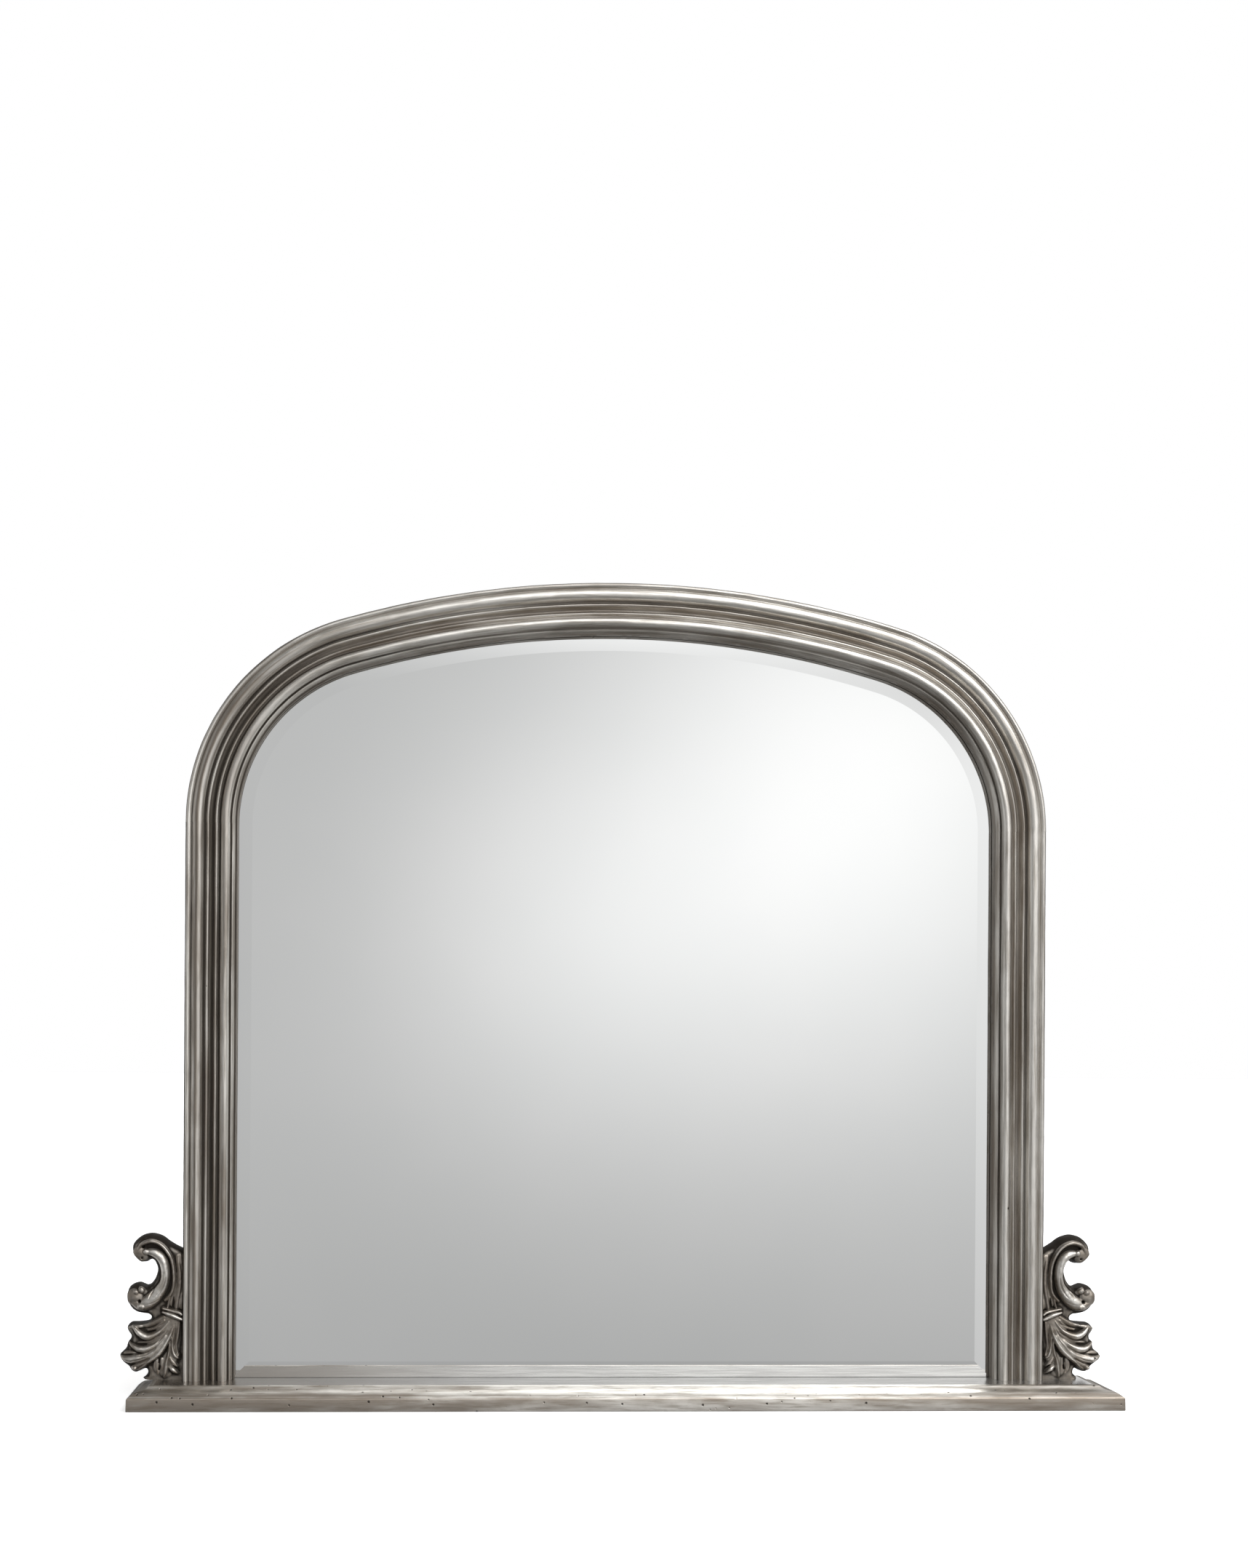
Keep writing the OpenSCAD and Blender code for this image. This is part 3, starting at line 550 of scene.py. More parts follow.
# Limbs of the carving, each a rounded ridge through [u, v, half width, crest height] points, with
# the drop from its crest to its sides
LIMBS = [
    # Mass of the leaf and of its foot
    (3, [(12, 82, 10, 23), (17, 71, 12, 23.4), (24, 59, 12, 23.4), (32, 48, 11, 23.2),
         (42, 38, 9, 22.6), (54, 31, 8, 22)]),
    (3, [(8, 66, 6, 22), (10, 50, 7, 22), (13, 36, 8, 22), (18, 24, 10, 21.6), (22, 12, 10, 20.4)]),
    (3, [(6, 158, 5, 20.5), (5, 140, 6, 21), (5, 120, 7, 21.5), (8, 100, 10, 21.5)]),
    # Volutes: discs, beads and the inner lobe
    (6, [(53.6, 161.8, 11.0, 22), (54.2, 162.2, 11.0, 22)]),
    (9, [(60.6, 105.8, 12.2, 23.6), (61.0, 106.2, 12.2, 23.6)]),
    (5, [(50, 112, 6, 20.5), (53, 116, 6, 21)]),
    # Thin rim of the C, from eye to eye
    (5, [(58.5, 163.5, 1.8, 22), (57.2, 168, 2.1, 22.5), (54.6, 172.4, 2.3, 23.5),
         (50.2, 175.8, 2.4, 24.5), (42.7, 178, 2.6, 25), (36.5, 177.4, 2.6, 25), (30.4, 174.8, 2.6, 25),
         (25, 170.6, 2.6, 25), (20.4, 165, 2.6, 25), (16.5, 158.4, 2.6, 25), (13.8, 150.4, 2.6, 24.5),
         (12.4, 141.5, 2.6, 24.5), (11.8, 132.3, 2.6, 24.5), (12, 124.6, 2.6, 24.5), (13, 117, 2.6, 24),
         (16.4, 109.6, 2.6, 24), (22.7, 102.8, 2.6, 23.5)]),
    # Broad roll of the C
    (9, [(47.6, 164.3, 3.6, 25), (41.2, 164.4, 5.0, 26.5), (35, 162.6, 5.8, 27.8),
         (29.8, 158.8, 6.2, 28.4), (26, 153.6, 6.2, 28.6), (23.7, 147.5, 6.0, 28.6),
         (22.5, 140, 5.8, 28.6), (22.5, 132.3, 5.8, 28.6), (23.8, 124.8, 6.2, 28.4),
         (27.4, 117.4, 7.0, 28), (32.5, 110.8, 8.0, 27.8), (38, 105.2, 8.8, 27.4),
         (44.6, 100.2, 9.2, 26.8), (51, 97.0, 8.4, 25.8), (57, 96.8, 7.0, 24.2),
         (62.5, 99.6, 5.4, 22.4)]),
    (2.5, [(46.8, 164.4, 3.4, 27.0), (47.8, 164.8, 3.4, 26.8)]),
    (2.5, [(52.6, 115.2, 3.6, 25.4), (53.4, 116, 3.6, 25.4)]),
    (1.6, [(59.2, 112.4, 2.8, 24.4), (60.2, 113.2, 2.8, 24.4)]),
    (2.2, [(51.2, 94.4, 3.0, 27.2), (54.2, 94.8, 3.0, 27.0)]),
    # Fluted stem
    (4, [(7.6, 160, 2.8, 20.5), (6.2, 148, 3.2, 22), (4.6, 135, 3.4, 22.5), (4.8, 118, 3.4, 23),
         (7.2, 104, 3.2, 23), (8.6, 93, 2.8, 23)]),
    (3, [(1.6, 118, 1.8, 21), (1.8, 104, 1.9, 21.5), (2.4, 92, 1.9, 21.5)]),
    (4, [(14.8, 114, 1.9, 22.5), (17.2, 104, 2.0, 22.5), (19.6, 94, 2.0, 22)]),
    # Collar of two bars
    (4, [(25.4, 92, 1.9, 25), (12, 88.6, 2.1, 26), (5, 87.2, 2.3, 27), (1.2, 84.8, 2.2, 27.5)]),
    (4.5, [(25.4, 87.4, 2.0, 26), (13, 83.2, 2.9, 28.4), (1.2, 78.4, 2.5, 27.5)]),
    # Upper leaf
    (4, [(24, 81, 3.0, 23), (34.6, 74.6, 3.6, 22.5), (43.8, 70.8, 3.4, 21.5), (50, 70, 2.6, 20.5)]),
    (4, [(49, 69.6, 2.2, 19.5), (56, 68.6, 3.0, 21.5), (63, 68, 3.0, 20.5), (68.5, 66.5, 2.4, 18.5)]),
    (3.5, [(24, 76.5, 2.2, 23.5), (29.6, 70.5, 2.6, 23), (36, 66.5, 2.6, 22), (44, 64.3, 2.2, 21)]),
    (8, [(18, 75, 2.4, 24), (24, 67.8, 3.0, 25), (29.6, 62.4, 3.4, 26), (37.5, 57.8, 4.0, 27.4),
         (44.5, 55.6, 4.6, 28.3), (50.2, 57, 4.6, 28.3), (56, 61, 4.0, 27), (61, 66.2, 3.0, 24),
         (63.5, 69.3, 2.0, 21)]),
    # Middle leaf
    (4.5, [(16, 71, 2.4, 23.5), (22, 62.5, 2.6, 24), (28, 56.5, 2.6, 24), (34, 52.6, 2.6, 23.6),
           (42, 49.6, 2.4, 22.6), (51, 48.4, 2.2, 21.2), (59, 47.6, 1.8, 19)]),
    (8, [(22, 57, 2.6, 24), (28.5, 50.8, 3.0, 25), (34.5, 46, 3.6, 26.2), (41, 42.2, 4.2, 27.6),
         (48, 40, 4.6, 28.3), (55, 40.1, 4.4, 28), (61, 42.4, 3.6, 26), (66, 46, 2.4, 22.5),
         (68.5, 48.5, 1.6, 19)]),
    # Lower leaf, out to the tip
    (5, [(58, 34.8, 2.4, 22), (66, 35.4, 2.8, 22), (72, 34.8, 2.8, 20.5), (77, 33.2, 2.2, 18)]),
    (7, [(22, 52, 2.6, 24.5), (28, 44.5, 3.4, 25.5), (34, 38.5, 4.4, 26), (42, 33, 5.4, 26.4),
         (50, 29.8, 6.0, 26.8), (58, 28, 6.0, 27), (66, 27, 5.2, 26.6), (72.5, 27.6, 4.0, 25),
         (78, 30, 2.4, 20.5)]),
    (5, [(38, 27.5, 3, 24.5), (45, 24.5, 4.4, 25), (53, 20.8, 4.6, 25), (60, 17.6, 3.8, 24),
         (63.5, 16, 2.6, 22)]),
    (4, [(60.6, 15.2, 2.8, 26), (61.4, 15.6, 2.8, 26)]),
    # Long rib of the leaf, its lower lip and the rib beside it
    (7, [(11.9, 70, 2.4, 23.5), (14.7, 60.5, 2.8, 25), (19, 51.5, 3.0, 26.4), (23.9, 43, 3.2, 27.6),
         (29.6, 35.2, 3.2, 28), (36.5, 29, 3.0, 27.6), (43, 24.2, 2.6, 26.6), (49.5, 18.5, 2.4, 25.4),
         (56, 13.8, 2.0, 23.4)]),
    (5, [(20, 56.5, 2.0, 24.5), (25, 50, 2.2, 25.5), (30.5, 43.5, 2.4, 26.5), (35, 37.5, 2.4, 26.5),
         (39.5, 32.5, 2.2, 26)]),
    # Leaflets of the foot
    (5, [(33, 27, 3.6, 21.5), (34, 20, 4.6, 22), (33, 12, 4.2, 20.5), (31, 6, 3, 18)]),
    (5, [(27, 27, 2.6, 22), (26.5, 19, 3.0, 22), (27.5, 12, 2.6, 20)]),
    (7, [(16.5, 50, 2.0, 23), (17, 42, 2.2, 23.5), (18, 33, 2.4, 24.5), (20, 25, 2.6, 25),
         (20.8, 17, 3.0, 25.5), (21.8, 10, 2.8, 24.5), (23.6, 4, 1.9, 22)]),
    (7, [(13.8, 58, 1.8, 23.5), (13.4, 50, 2, 24), (13, 43, 2.2, 24.6), (11.6, 36.5, 2.4, 25.8),
         (9, 31.4, 2.6, 26.4), (5.8, 29, 2.1, 25)]),
    (6, [(4.6, 74, 2.2, 23.5), (5.6, 62, 2.5, 24), (7.2, 52, 2.5, 24), (8.2, 44, 2.2, 23.5),
         (7, 37, 2.0, 23.5), (5.2, 31.8, 1.8, 24)]),
    (5, [(16.5, 30, 2.4, 22.5), (13.5, 24.5, 3.2, 23.5), (10, 20.5, 3.2, 23), (7, 18, 2.2, 21.5)]),
    (7, [(16, 16.6, 2.6, 24), (12, 13.6, 3.6, 26.4), (8.2, 10.8, 3.0, 24.5), (5.8, 9, 2, 22)]),
    (4, [(20, 2.4, 2.6, 18), (30, 3, 3, 18.5), (40, 2.4, 3, 18), (47, 2.2, 2.2, 16.5)])]

# Gouge cuts, each [u, v, half width, depth]
CUTS = [
    [(50.8, 170, 1.4, 2.5), (51.6, 170.6, 1.9, 4)],
    [(52.2, 157.2, 1.4, 2), (52.8, 156.6, 2.0, 3.5)],
    [(54.6, 100.6, 1.8, 4), (55.4, 101, 2.5, 7)],
    [(43, 105, 0.8, 1), (40.5, 110.5, 1.3, 3), (37.5, 115, 1.2, 3), (36, 119, 0.8, 1)],
    [(21.8, 138, 0.7, 0.2), (21.9, 131, 1.1, 1.2), (23.4, 124, 1.4, 2.2), (26.6, 117.5, 1.4, 2.2),
     (31, 111, 1.2, 1.2), (36, 106, 0.8, 0.2)],
    [(17.4, 136, 0.8, 0.3), (17.8, 128, 1.2, 1.6), (19.4, 120, 1.2, 1.8), (22.4, 113.5, 0.9, 0.6)],
    [(27, 107, 0.8, 0.2), (33, 102.4, 1.1, 1.0), (40, 98.8, 1.1, 1.0), (47, 97, 0.8, 0.2)],
    [(12.2, 106, 1.2, 1.5), (12.6, 99, 2.0, 3.5), (13.4, 94, 1.6, 3)],
    [(48, 29.6, 0.8, 0.8), (56, 26.6, 1.0, 1.6), (66, 25, 0.8, 1.2)],
    [(42, 28.6, 0.8, 1), (50, 24.6, 1.0, 1.6), (58, 21.6, 0.9, 1)],
    [(46, 21.6, 0.7, 0.8), (52, 18.4, 0.8, 1.2), (57, 16, 0.7, 0.8)],
    [(24, 62, 0.8, 1), (29, 58.8, 0.8, 1.2), (34, 56, 0.7, 0.8)],
    [(18, 68, 0.6, 0.5), (23.4, 58.6, 0.8, 1.1), (31, 49, 0.8, 1.1), (38, 42.4, 0.6, 0.5)],
    [(15.6, 66, 0.6, 0.5), (20, 57, 0.8, 1.1), (26.6, 46.8, 0.8, 1.1), (33, 39.4, 0.6, 0.5)],
    [(40, 37, 0.7, 0.6), (47, 33.4, 0.9, 1.3), (56, 31.6, 0.9, 1.1), (66, 30.6, 0.6, 0.5)],
    [(16, 79, 0.6, 0.5), (25, 72.6, 0.8, 1.1), (33, 69, 0.8, 1.1), (41, 67.4, 0.6, 0.5)],
    [(9.4, 72, 0.7, 0.6), (9.8, 60, 1.0, 1.6), (10.8, 50, 1.0, 1.6), (11, 42, 0.7, 0.6)],
    [(17.4, 28, 0.7, 0.6), (18.4, 20, 0.8, 1.2), (19.6, 12, 0.7, 0.6)],
    [(34.4, 24, 0.8, 0.8), (35, 17, 1.1, 1.6), (34, 9, 0.8, 0.8)],
    [(29, 18, 1.2, 2), (30.4, 13.5, 1.4, 3)],
    [(11.5, 19, 1.0, 1.5), (8.6, 15.6, 1.2, 3)],
    [(31, 22, 0.9, 1.6), (29.6, 27, 0.9, 1.2)]]


def spline(points, spacing):
    """Points spaced evenly along a Catmull-Rom curve through the given ones."""
    p = np.array(points, float)
    ends = np.vstack([2 * p[0] - p[1], p, 2 * p[-1] - p[-2]])
    dense = []
    for i in range(1, len(ends) - 2):
        a, b, c, d = ends[i - 1:i + 3]
        for t in np.linspace(0, 1, 24, endpoint=False):
            dense.append(0.5 * (2 * b + (c - a) * t + (2 * a - 5 * b + 4 * c - d) * t ** 2
                                + (3 * b - a - 3 * c + d) * t ** 3))
    dense.append(ends[-2])
    dense = np.array(dense)
    run = np.concatenate([[0], np.cumsum(np.hypot(*np.diff(dense[:, :2], axis=0).T))])
    even = np.linspace(0, run[-1], max(3, int(run[-1] / spacing) + 1))
    return np.stack([np.interp(even, run, dense[:, k]) for k in range(dense.shape[1])], 1)


def nearest_on(grid_u, grid_v, path):
    """For each grid point, its distance to a path and the path's nearest point."""
    best = np.full(grid_u.shape, 1e9)
    near_u, near_v = np.zeros(grid_u.shape), np.zeros(grid_u.shape)
    for u, v in path:
        d = np.hypot(grid_u - u, grid_v - v)
        nearer = d < best
        best[nearer], near_u[nearer], near_v[nearer] = d[nearer], u, v
    return best, near_u, near_v


def inside_outline(grid_u, grid_v, outline):
    inside = np.zeros(grid_u.shape, bool)
    for (u0, v0), (u1, v1) in zip(outline, np.roll(outline, -1, axis=0)):
        if v0 == v1:
            continue
        crosses = (v0 > grid_v) != (v1 > grid_v)
        inside ^= crosses & (grid_u < u0 + (grid_v - v0) / (v1 - v0) * (u1 - u0))
    return inside


def sweep(field, grid_u, grid_v, points, profile):
    """Raises a field to a profile(value, share of the half width) swept along a path."""
    for u, v, w, value in spline(points, 0.6):
        rows = slice(max(0, int((v - w - V0) / GRID)), int((v + w - V0) / GRID) + 2)
        cols = slice(max(0, int((u - w - U0) / GRID)), int((u + w - U0) / GRID) + 2)
        share = ((grid_u[rows, cols] - u) ** 2 + (grid_v[rows, cols] - v) ** 2) / w ** 2
        made = np.where(share < 1, profile(value, np.minimum(share, 1)), -1e9)
        np.maximum(field[rows, cols], made, out=field[rows, cols])


def carve():
    """The brackets' carved face as a height field, with the nearest points of its outline."""
    grid_u, grid_v = np.meshgrid(np.arange(U0, 86, GRID), np.arange(V0, 190, GRID))
    edge = spline(OUTLINE, 0.25)
    depth, near_u, near_v = nearest_on(grid_u, grid_v, edge)
    inside = inside_outline(grid_u, grid_v, np.vstack([edge, [(-9, -9), (-9, 166)]]))
    depth = np.where(inside, depth, -depth)
    height = EDGE_H + (BODY_H - EDGE_H) * np.sqrt(1 - (1 - np.clip(depth / ROUND_W, 0, 1)) ** 2)
    for fall, points in LIMBS:
        sweep(height, grid_u, grid_v, points, lambda h, share: h - fall * (1 - np.sqrt(1 - share)))
    # No limb overhangs the outline
    height = np.minimum(height, EDGE_H + 14 * np.sqrt(np.clip(depth, 0, None)))
    gouged = np.zeros_like(height)
    for points in CUTS:
        sweep(gouged, grid_u, grid_v, points, lambda d, share: d * (1 - share) ** 1.5)
    flat = np.stack([grid_u.ravel(), grid_v.ravel(), np.zeros(grid_u.size)], 1)
    tooled = smooth_noise(flat, 0.22, 13).reshape(grid_u.shape)
    height = blur_grid(height - gouged, 0.9) + TOOLING * tooled
    # Dirt in hollows, against the mean height nearby inside the outline, dirt and painted shade at the rim,
    # and darkening low down
    weight = blur_grid(inside.astype(float), HOLLOW_BLUR)
    mean = blur_grid(np.where(inside, height, 0), HOLLOW_BLUR) / np.maximum(weight, 0.05)
    low = sum(amount * np.clip((start - height) / fall, 0, 1) for amount, start, fall in LOW_DARKENING)
    cavity = (mean - height) / HOLLOW_DROP + RIM_DIRT_AND_SHADE * np.clip(1 - depth / RIM_W, 0, 1) + low
    return grid_u, grid_v, depth, near_u, near_v, np.clip(height, EDGE_H, SCROLL_D - 1), cavity


def scroll_piece(node, side, carving, warp, material):
    """A carved bracket: its face is the carved height field, its edge is sawn square to the back."""
    grid_u, grid_v, depth, near_u, near_v, height, cavity = carving
    # Squares of the grid with a corner inside the outline, and the points that they use
    inside = depth > 0
    near, far = slice(None, -1), slice(1, None)
    corners = ((near, near), (near, far), (far, far), (far, near))
    some = np.logical_or.reduce([inside[corner] for corner in corners])
    keep = np.zeros(inside.shape, bool)
    for corner in corners:
        keep[corner] |= some
    pu = np.clip(np.where(inside, grid_u, near_u), 0, None)
    pv = np.clip(np.where(inside, grid_v, near_v), 0, None)
    pu = np.where(grid_u <= 0, 0, pu)
    pv = np.where(grid_v <= 0, 0, pv)
    index = -np.ones(inside.shape, int)
    index[keep] = np.arange(keep.sum())
    faces = np.stack([index[corner][some] for corner in corners], 1)
    u, v = pu[keep], pv[keep]
    ease = np.clip(u / 10, 0, 1) * np.clip(v / 10, 0, 1)
    flat = np.stack([u, v, np.zeros_like(u)], 1)
    drift = smooth_noise(flat, 0.03, 21) * warp * ease
    lift = smooth_noise(flat, 0.03, 22) * warp * ease
    x = CENTRE_X + side * (HALF_W + np.clip(u + drift, 0, REACH_U) * MM)
    vertices = np.stack([x, BACK_Y - height[keep] * MM, FOOT_Z + (v + lift) * MM], 1)
    glaze = LOW_WAX - RUBBED * np.clip((height[keep] - RUB_H) / RUB_RISE, 0, 1)
    values = {"cavity": cavity[keep], "glaze": glaze}
    piece = make_mesh(node + "_carving", vertices, faces, np.stack([u, v], 1) * MM, values, material)
    bm = bmesh.new()
    bm.from_mesh(piece.data)
    bmesh.ops.remove_doubles(bm, verts=bm.verts, dist=0.00005)
    bmesh.ops.dissolve_degenerate(bm, edges=bm.edges, dist=0.00004)
    # The sawn edge, drawn back in three steps, and the flat back
    layer = bm.verts.layers.float["cavity"]
    for share in (0.35, 0.5, 1.0):
        rim = [e for e in bm.edges if len(e.link_faces) == 1]
        made = bmesh.ops.extrude_edge_only(bm, edges=rim)["geom"]
        for vert in (g for g in made if isinstance(g, bmesh.types.BMVert)):
            vert.co.y += (BACK_Y - vert.co.y) * share
            vert[layer] = 0.8
    rim = [e for e in bm.edges if len(e.link_faces) == 1]
    bmesh.ops.contextual_create(bm, geom=rim)
    bm.to_mesh(piece.data)
    bm.free()
    piece.data.polygons.foreach_set("use_smooth", [True] * len(piece.data.polygons))
    fix_shading(piece, 62)
    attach(piece, BODY)
    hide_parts(node)


# ---- Mirror plate ------------------------------------------

PLATE_PLAY = 2.0           # between the plate's edge and the rebate's wall
PLATE_IN = MOULD_W - REBATE_W + PLATE_PLAY
BEVEL_SHOW, BEVEL_DROP = 19.0, 1.6
BEVEL_W = BEVEL_SHOW + REBATE_W - PLATE_PLAY


def plate_outline(inset):
    """The plate's outline, inset by some millimetres, as x, z points counted the same way round."""
    d = (PLATE_IN + inset) * MM
    points = [(-HALF_W + d, plate_lo.z + inset * MM)]
    points += [(-HALF_W + d, z) for z in np.linspace(plate_lo.z + 0.04, SPRING_Z, 30)]
    for a in np.linspace(math.pi, JOINT_A, 90)[1:]:
        points.append((-HAUNCH_X + (HAUNCH_R - d) * math.cos(a), SPRING_Z + (HAUNCH_R - d) * math.sin(a)))
    for a in np.linspace(JOINT_A, math.pi / 2, 90)[1:]:
        points.append(((CROWN_R - d) * math.cos(a), CROWN_Z + (CROWN_R - d) * math.sin(a)))
    return points + [(-x, z) for x, z in reversed(points[:-1])]


def mirror_glass(material, edge_material):
    """The plate: silvering on its flat face and bevel, paint on its edge and back."""
    front, back = plate_lo.y, plate_hi.y
    loops = [(0, back), (0, front + BEVEL_DROP * MM), (BEVEL_W, front)]
    vertices = []
    for inset, y in loops:
        vertices += [(x + CENTRE_X, y, z) for x, z in plate_outline(inset)]
    faces = ring_faces(len(loops), len(plate_outline(0)))
    piece = make_mesh("mirror_glass", vertices, faces, material=material, smooth=False)
    piece.data.materials.append(edge_material)
    fix_shading(piece, 180)
    for polygon in piece.data.polygons:
        if polygon.normal.y > -0.5:
            polygon.material_index = 1
    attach(piece, BODY)
    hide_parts("mirror_plate")


def mirror_material():
    g = Surface("mirror_silvering")
    haze = g.noise(g.coordinates("Object"), 3.0, 3.0, 0.5)
    colour = g.mix(g.ramp(haze, 0.3, 0.7), (0.90, 0.91, 0.905), (0.93, 0.935, 0.93))
    roughness = g.ramp(haze, 0.3, 0.7, 0.012, 0.02)
    return g.finish(colour, roughness, 1.0)


def plate_edge_material():
    g = Surface("plate_back_paint")
    mottle = g.noise(g.coordinates("Object"), 25.0, 4.0, 0.6)
    colour = g.mix(mottle, (0.16, 0.17, 0.16), (0.26, 0.27, 0.25))
    return g.finish(colour, 0.55, 0.0, g.bump(mottle, 0.0003, 0.3))


# ---- Materials of the pieces that keep their nodes ---------

LEAF_DEPTH = 0.0075        # how far the leaf runs down into the glass groove, in metres


def leafed(g, place, node):
    """Silver leaf on top of a node and down its glass groove: where it is, and its colour, with painted
    shade towards the left end and in the groove.
    """
    top_z = (frame["nodes"][node].matrix_world.inverted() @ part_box(node)[1]).z
    split = g.node("ShaderNodeSeparateXYZ")
    g.link(place, split.inputs[0])
    x, _, z = split.outputs
    marks = g.ramp(g.noise(g.stretched(place, (14.0, 120.0, 9.0)), 1.0, 5.0), 0.35, 0.65)
    leaf = g.mix(marks, (0.44, 0.43, 0.415), (0.56, 0.55, 0.53))
    # Painted shade with brown wax: the top darkens and browns towards the left end
    shade_and_wax = g.math("MULTIPLY", g.ramp(x, -0.50, -0.10, 0.75, 0.0), g.ramp(x, 0.30, 0.50, 1.0, 0.3))
    leaf = g.mix(shade_and_wax, leaf, GLAZE)
    # Painted shade: the leaf turns dark grey below the top, in the glass groove
    leaf = g.mix(g.ramp(z, top_z - 0.0002, top_z - 0.0030), leaf, (0.25, 0.24, 0.22))
    return g.ramp(z, top_z - LEAF_DEPTH, top_z - LEAF_DEPTH + 0.0005), leaf


def bare_wood(name, light, dark, silvered_top=None):
    """Pine. silvered_top names the node whose top is leafed."""
    g = Surface(name)
    place = g.coordinates("Object")
    grain = g.noise(g.stretched(place, (3.0, 60.0, 60.0)), 1.0, 6.0, 0.6)
    rings = g.noise(g.stretched(place, (1.2, 22.0, 22.0)), 1.0, 2.0, 0.5)
    colour = g.mix(g.ramp(rings, 0.4, 0.62), light, dark)
    colour = g.mix(g.ramp(grain, 0.5, 0.75, 0.0, 0.5), colour, dark)
    relief = g.bump(grain, 0.0003, 0.35)
    if not silvered_top:
        return g.finish(colour, 0.7, 0.0, relief)
    top, leaf = leafed(g, place, silvered_top)
    rough = g.ramp(top, 0.0, 1.0, 0.7, 0.24)
    return g.finish(g.mix(top, colour, leaf), rough, g.math("MULTIPLY", top, 0.9), relief)


def hardboard():
    g = Surface("hardboard_back")
    place = g.coordinates("Object")
    fibre = g.noise(g.stretched(place, (260.0, 260.0, 120.0)), 1.0, 5.0, 0.65)
    patches = g.noise(place, 2.2, 5.0, 0.6)
    colour = g.mix(g.ramp(patches, 0.30, 0.75), (0.235, 0.148, 0.085), (0.29, 0.188, 0.11))
    colour = g.mix(g.ramp(fibre, 0.45, 0.7, 0.0, 0.6), colour, (0.12, 0.07, 0.04))
    return g.finish(colour, 0.62, 0.0, g.bump(fibre, 0.0003, 0.4))


def metal(name, colour, dull, roughness):
    g = Surface(name)
    place = g.coordinates("Object")
    marks = g.noise(place, 700.0, 4.0, 0.6)
    tone = g.mix(g.ramp(g.noise(place, 160.0, 3.0), 0.4, 0.7), colour, dull)
    rough = g.ramp(marks, 0.3, 0.7, roughness, roughness + 0.14)
    return g.finish(tone, rough, 1.0, g.bump(marks, 0.0001, 0.3))


def soft(name, light, dark, scale, roughness):
    g = Surface(name)
    fuzz = g.noise(g.coordinates("Object"), scale, 5.0, 0.7)
    return g.finish(g.mix(fuzz, dark, light), roughness, 0.0, g.bump(fuzz, 0.0004, 0.6))


def dress(material, *names):
    for name in names:
        piece = frame["nodes"][name]
        piece.data.materials.clear()
        piece.data.materials.append(material)


# ---- Studio ------------------------------------------------

FLOOR_HALF = 30.0
FLOOR_LIFT = 0.55          # glow that takes the pale floor to white for the camera alone
UPPER_LIGHT = 3.6          # brightest part of the light from the upper right


def floor():
    """A pale floor that keeps the shadow and isn't seen in the mirror."""
    g = Surface("studio_floor")
    tone = g.mix(g.noise(g.coordinates("Object"), 0.8, 2.0), (0.78, 0.78, 0.775), (0.80, 0.80, 0.80))
    g.finish(tone, 0.8, 0.0)
    path = g.node("ShaderNodeLightPath")
    glow = g.node("ShaderNodeEmission")
    g.link(g.math("MULTIPLY", path.outputs["Is Camera Ray"], FLOOR_LIFT), glow.inputs["Strength"])
    add = g.node("ShaderNodeAddShader")
    g.link(g.shader.outputs[0], add.inputs[0])
    g.link(glow.outputs[0], add.inputs[1])
    g.link(add.outputs[0], g.output.inputs["Surface"])
    corners = [(-1, -1), (1, -1), (1, 1), (-1, 1)]
    piece = make_mesh("studio_floor", [(x * FLOOR_HALF, y * FLOOR_HALF, 0) for x, y in corners],
                      [(0, 1, 2, 3)], material=g.material, smooth=False)
    piece.visible_glossy = False


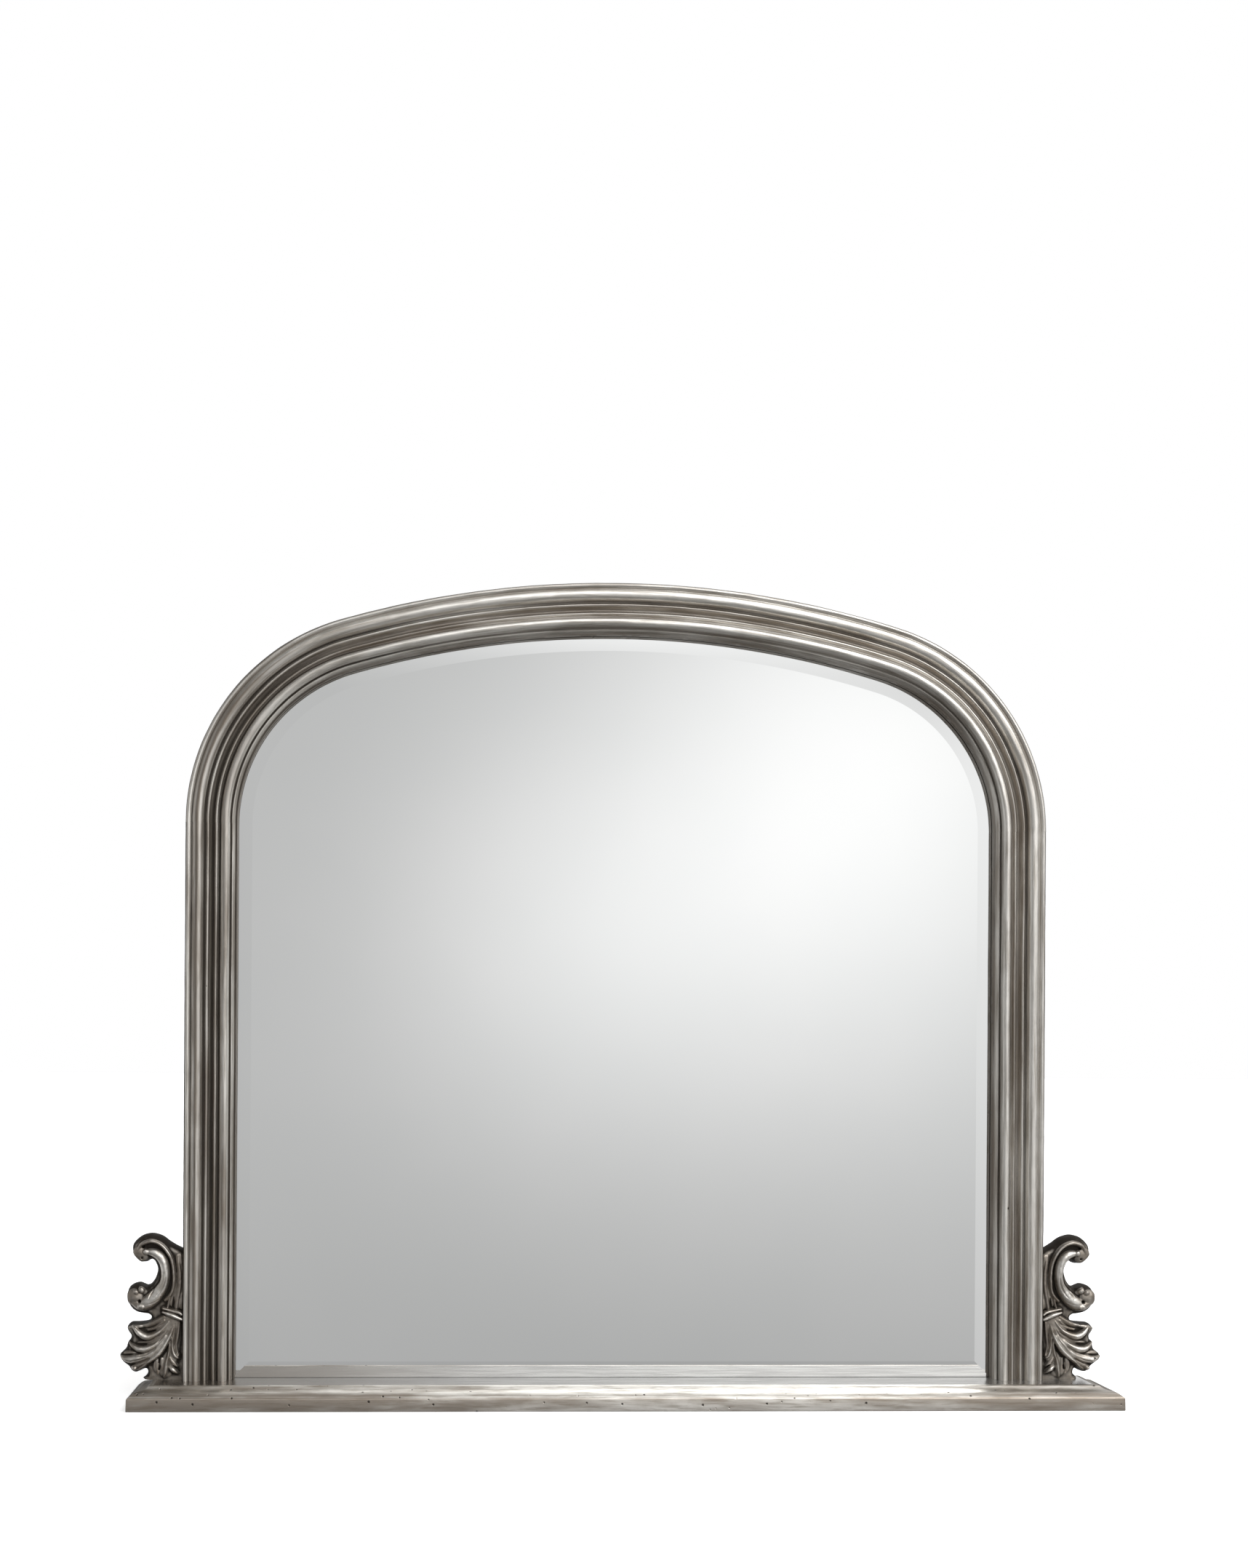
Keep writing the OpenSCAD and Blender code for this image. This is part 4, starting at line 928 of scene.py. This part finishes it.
def world():
    """Soft studio: white behind the object, and in front of it a dim room lit from the upper right.

    The strength is worked out from the direction (x, y, z) that a ray leaves in.
    """
    made = bpy.data.worlds.new("studio")
    g = Graph(made)
    way = g.node("ShaderNodeSeparateXYZ")
    g.link(g.coordinates("Generated"), way.inputs[0])
    x, y, z = way.outputs

    def fold(operation, values):
        total = values[0]
        for value in values[1:]:
            total = g.math(operation, total, value)
        return total

    def times(*values):
        return fold("MULTIPLY", values)

    def plus(*values):
        return fold("ADD", values)

    def patch(x0, z0, rx, rz, strength):
        """A soft patch of light in front of the mirror, centred on a direction (x0, z0)."""
        dx = g.math("DIVIDE", g.math("SUBTRACT", x, x0), rx)
        dz = g.math("DIVIDE", g.math("SUBTRACT", z, z0), rz)
        r2 = plus(times(dx, dx), times(dz, dz))
        return times(g.math("EXPONENT", g.math("MULTIPLY", r2, -1.0)), strength, g.ramp(y, 0.2, -0.3))

    # The room, level with the mirror: darker to the left, below and far right
    room = times(g.ramp(z, -0.30, 0.02, 0.414, 0.537), g.ramp(z, -0.85, -0.25, 0.45, 1.0),
                 g.ramp(x, -0.42, -0.19, 0.48, 1.0), g.ramp(x, 0.72, 0.95, 1.0, 0.5),
                 g.ramp(z, 0.35, 0.62, 1.0, 0.0))
    far_left = times(g.ramp(x, -0.70, -0.93, 0.0, 0.45), g.ramp(g.math("ABSOLUTE", z), 0.2, 0.6, 1.0, 0.3))
    right = times(g.ramp(x, 0.33, 0.52), g.ramp(x, 0.95, 0.80), g.ramp(z, -0.15, 0.18, 0.30, 0.44),
                  g.ramp(z, 0.75, 0.45))
    # The upper light: from just above the mirror's view, growing to the right and fading overhead
    past_corner = g.ramp(g.math("ADD", x, g.math("MULTIPLY", y, 0.4)), 0.42, 0.66, 1.0, 0.22)
    upper = times(g.ramp(z, 0.30, 0.56), g.ramp(y, 0.15, 0.50, 1.0, 0.56), g.ramp(z, 0.62, 0.84, 1.0, 0.45),
                  g.ramp(x, -0.22, 0.14, 0.24, UPPER_LIGHT), past_corner)
    glows = plus(patch(0.261, 0.157, 0.153, 0.185, 0.512), patch(0.094, 0.072, 0.118, 0.122, 0.235))
    lit = plus(room, far_left, right, upper, glows)

    # White for the camera, and behind the object for what its metal and glass show
    path = g.node("ShaderNodeLightPath")
    gleam = g.math("ADD", path.outputs["Is Glossy Ray"], path.outputs["Is Transmission Ray"], clamp=True)
    behind = times(gleam, g.ramp(y, 0.05, 0.40), g.ramp(z, 0.62, 0.40))
    white = g.math("MAXIMUM", path.outputs["Is Camera Ray"], behind)
    strength = plus(times(lit, g.math("SUBTRACT", 1.0, white)), white)
    background = g.node("ShaderNodeBackground")
    background.inputs["Color"].default_value = (1.0, 1.0, 1.0, 1.0)
    g.link(strength, background.inputs["Strength"])
    g.link(background.outputs[0], g.node("ShaderNodeOutputWorld").inputs["Surface"])
    bpy.context.scene.world = made


def softbox(name, place, target, size, power):
    light = bpy.data.lights.new(name, "AREA")
    light.shape = "RECTANGLE"
    light.size, light.size_y = size
    light.energy = power
    lamp = bpy.data.objects.new(name, light)
    lamp.location = place
    lamp.rotation_mode = "QUATERNION"
    lamp.rotation_quaternion = (Vector(target) - Vector(place)).to_track_quat("-Z", "Y")
    bpy.context.scene.collection.objects.link(lamp)


def camera():
    """The photograph's view, level, from a little left of the mirror's middle."""
    # In pixels of the photograph
    image_w, image_h = 1716, 2156
    focal = 2334.35
    horizon_x, horizon_y = 664.0, 1446.0
    # In metres, and yaw and roll in radians
    distance, side, height = 2.2163, -0.2587, 0.4516
    yaw, roll = 0.0382, 0.0065
    data = bpy.data.cameras.new("camera")
    data.sensor_width = 36.0
    data.lens = data.sensor_width * focal / image_h
    data.shift_x = (image_w / 2 - horizon_x) / image_h
    data.shift_y = (horizon_y - image_h / 2) / image_h
    rig = bpy.data.objects.new("camera", data)
    forward = Vector((math.sin(yaw), math.cos(yaw), 0))
    level = Vector((math.cos(yaw), -math.sin(yaw), 0))
    right = level * math.cos(roll) + Vector((0, 0, math.sin(roll)))
    up = Vector((0, 0, math.cos(roll))) - level * math.sin(roll)
    turn = Matrix((right, up, -forward)).transposed()
    place = Vector((CENTRE_X + side, board_hi.y - distance, height))
    rig.matrix_world = Matrix.Translation(place) @ turn.to_4x4()
    bpy.context.scene.collection.objects.link(rig)
    bpy.context.scene.camera = rig


# ---- Build -------------------------------------------------

bpy.context.scene.view_settings.view_transform = "Standard"
camera()
world()
floor()
softbox("key_softbox", (1.5, -1.4, 2.3), (0, 0, 0.5), (1.2, 1.2), 22)

leaf_moulding = silver_leaf("silver_leaf_moulding", along=12.0, across=240.0, streak=0.45, shine=0.40)
leaf_carving = silver_leaf("silver_leaf_carving", along=60.0, across=60.0, dull=0.8,
                           patina=(0.022, 0.018, 0.014), shine=0.40, mottle=110.0)
leaf_plinth = silver_leaf("silver_leaf_plinth", along=22.0, across=260.0, streak=0.40,
                          pit_cells=110.0, pit_rarity=0.62, pit_size=0.20, pit_wax=0.24)

frame_member("left_upright", "straight", 1, 1, leaf_moulding)
frame_member("left_haunch", "haunch", 1, 2, leaf_moulding)
frame_member("crown", "crown", 1, 2, leaf_moulding)
frame_member("right_haunch", "haunch", -1, 2, leaf_moulding)
frame_member("right_upright", "straight", -1, 5, leaf_moulding)
edging_piece("plinth_front_edging", 0, leaf_plinth)
edging_piece("plinth_left_edging", -1, leaf_plinth)
edging_piece("plinth_right_edging", 1, leaf_plinth)
carving = carve()
scroll_piece("left_scroll", -1, carving, 0.0, leaf_carving)
scroll_piece("right_scroll", 1, carving, RIGHT_WARP, leaf_carving)
mirror_glass(mirror_material(), plate_edge_material())

PINE, PINE_DARK = (0.62, 0.44, 0.26), (0.40, 0.25, 0.13)
dress(bare_wood("plinth_timber", PINE, PINE_DARK, "plinth_board"), "plinth_board")
dress(bare_wood("dowel_timber", PINE, PINE_DARK), "arch_dowels", "scroll_dowels")
dress(hardboard(), "backing_board")
dress(metal("zinc_plate", (0.60, 0.60, 0.59), (0.42, 0.42, 0.41), 0.32), "foot_screws", "backing_screws")
dress(metal("brass_plate", (0.78, 0.58, 0.26), (0.55, 0.38, 0.16), 0.24), "left_hanger_strap",
      "right_hanger_strap", "left_hanger_ring", "right_hanger_ring", "hanger_screws")
dress(soft("block_rubber", (0.05, 0.05, 0.05), (0.02, 0.02, 0.02), 300.0, 0.7), "setting_blocks")
dress(soft("pad_felt", (0.22, 0.22, 0.23), (0.10, 0.10, 0.10), 900.0, 0.95), "plate_pads")
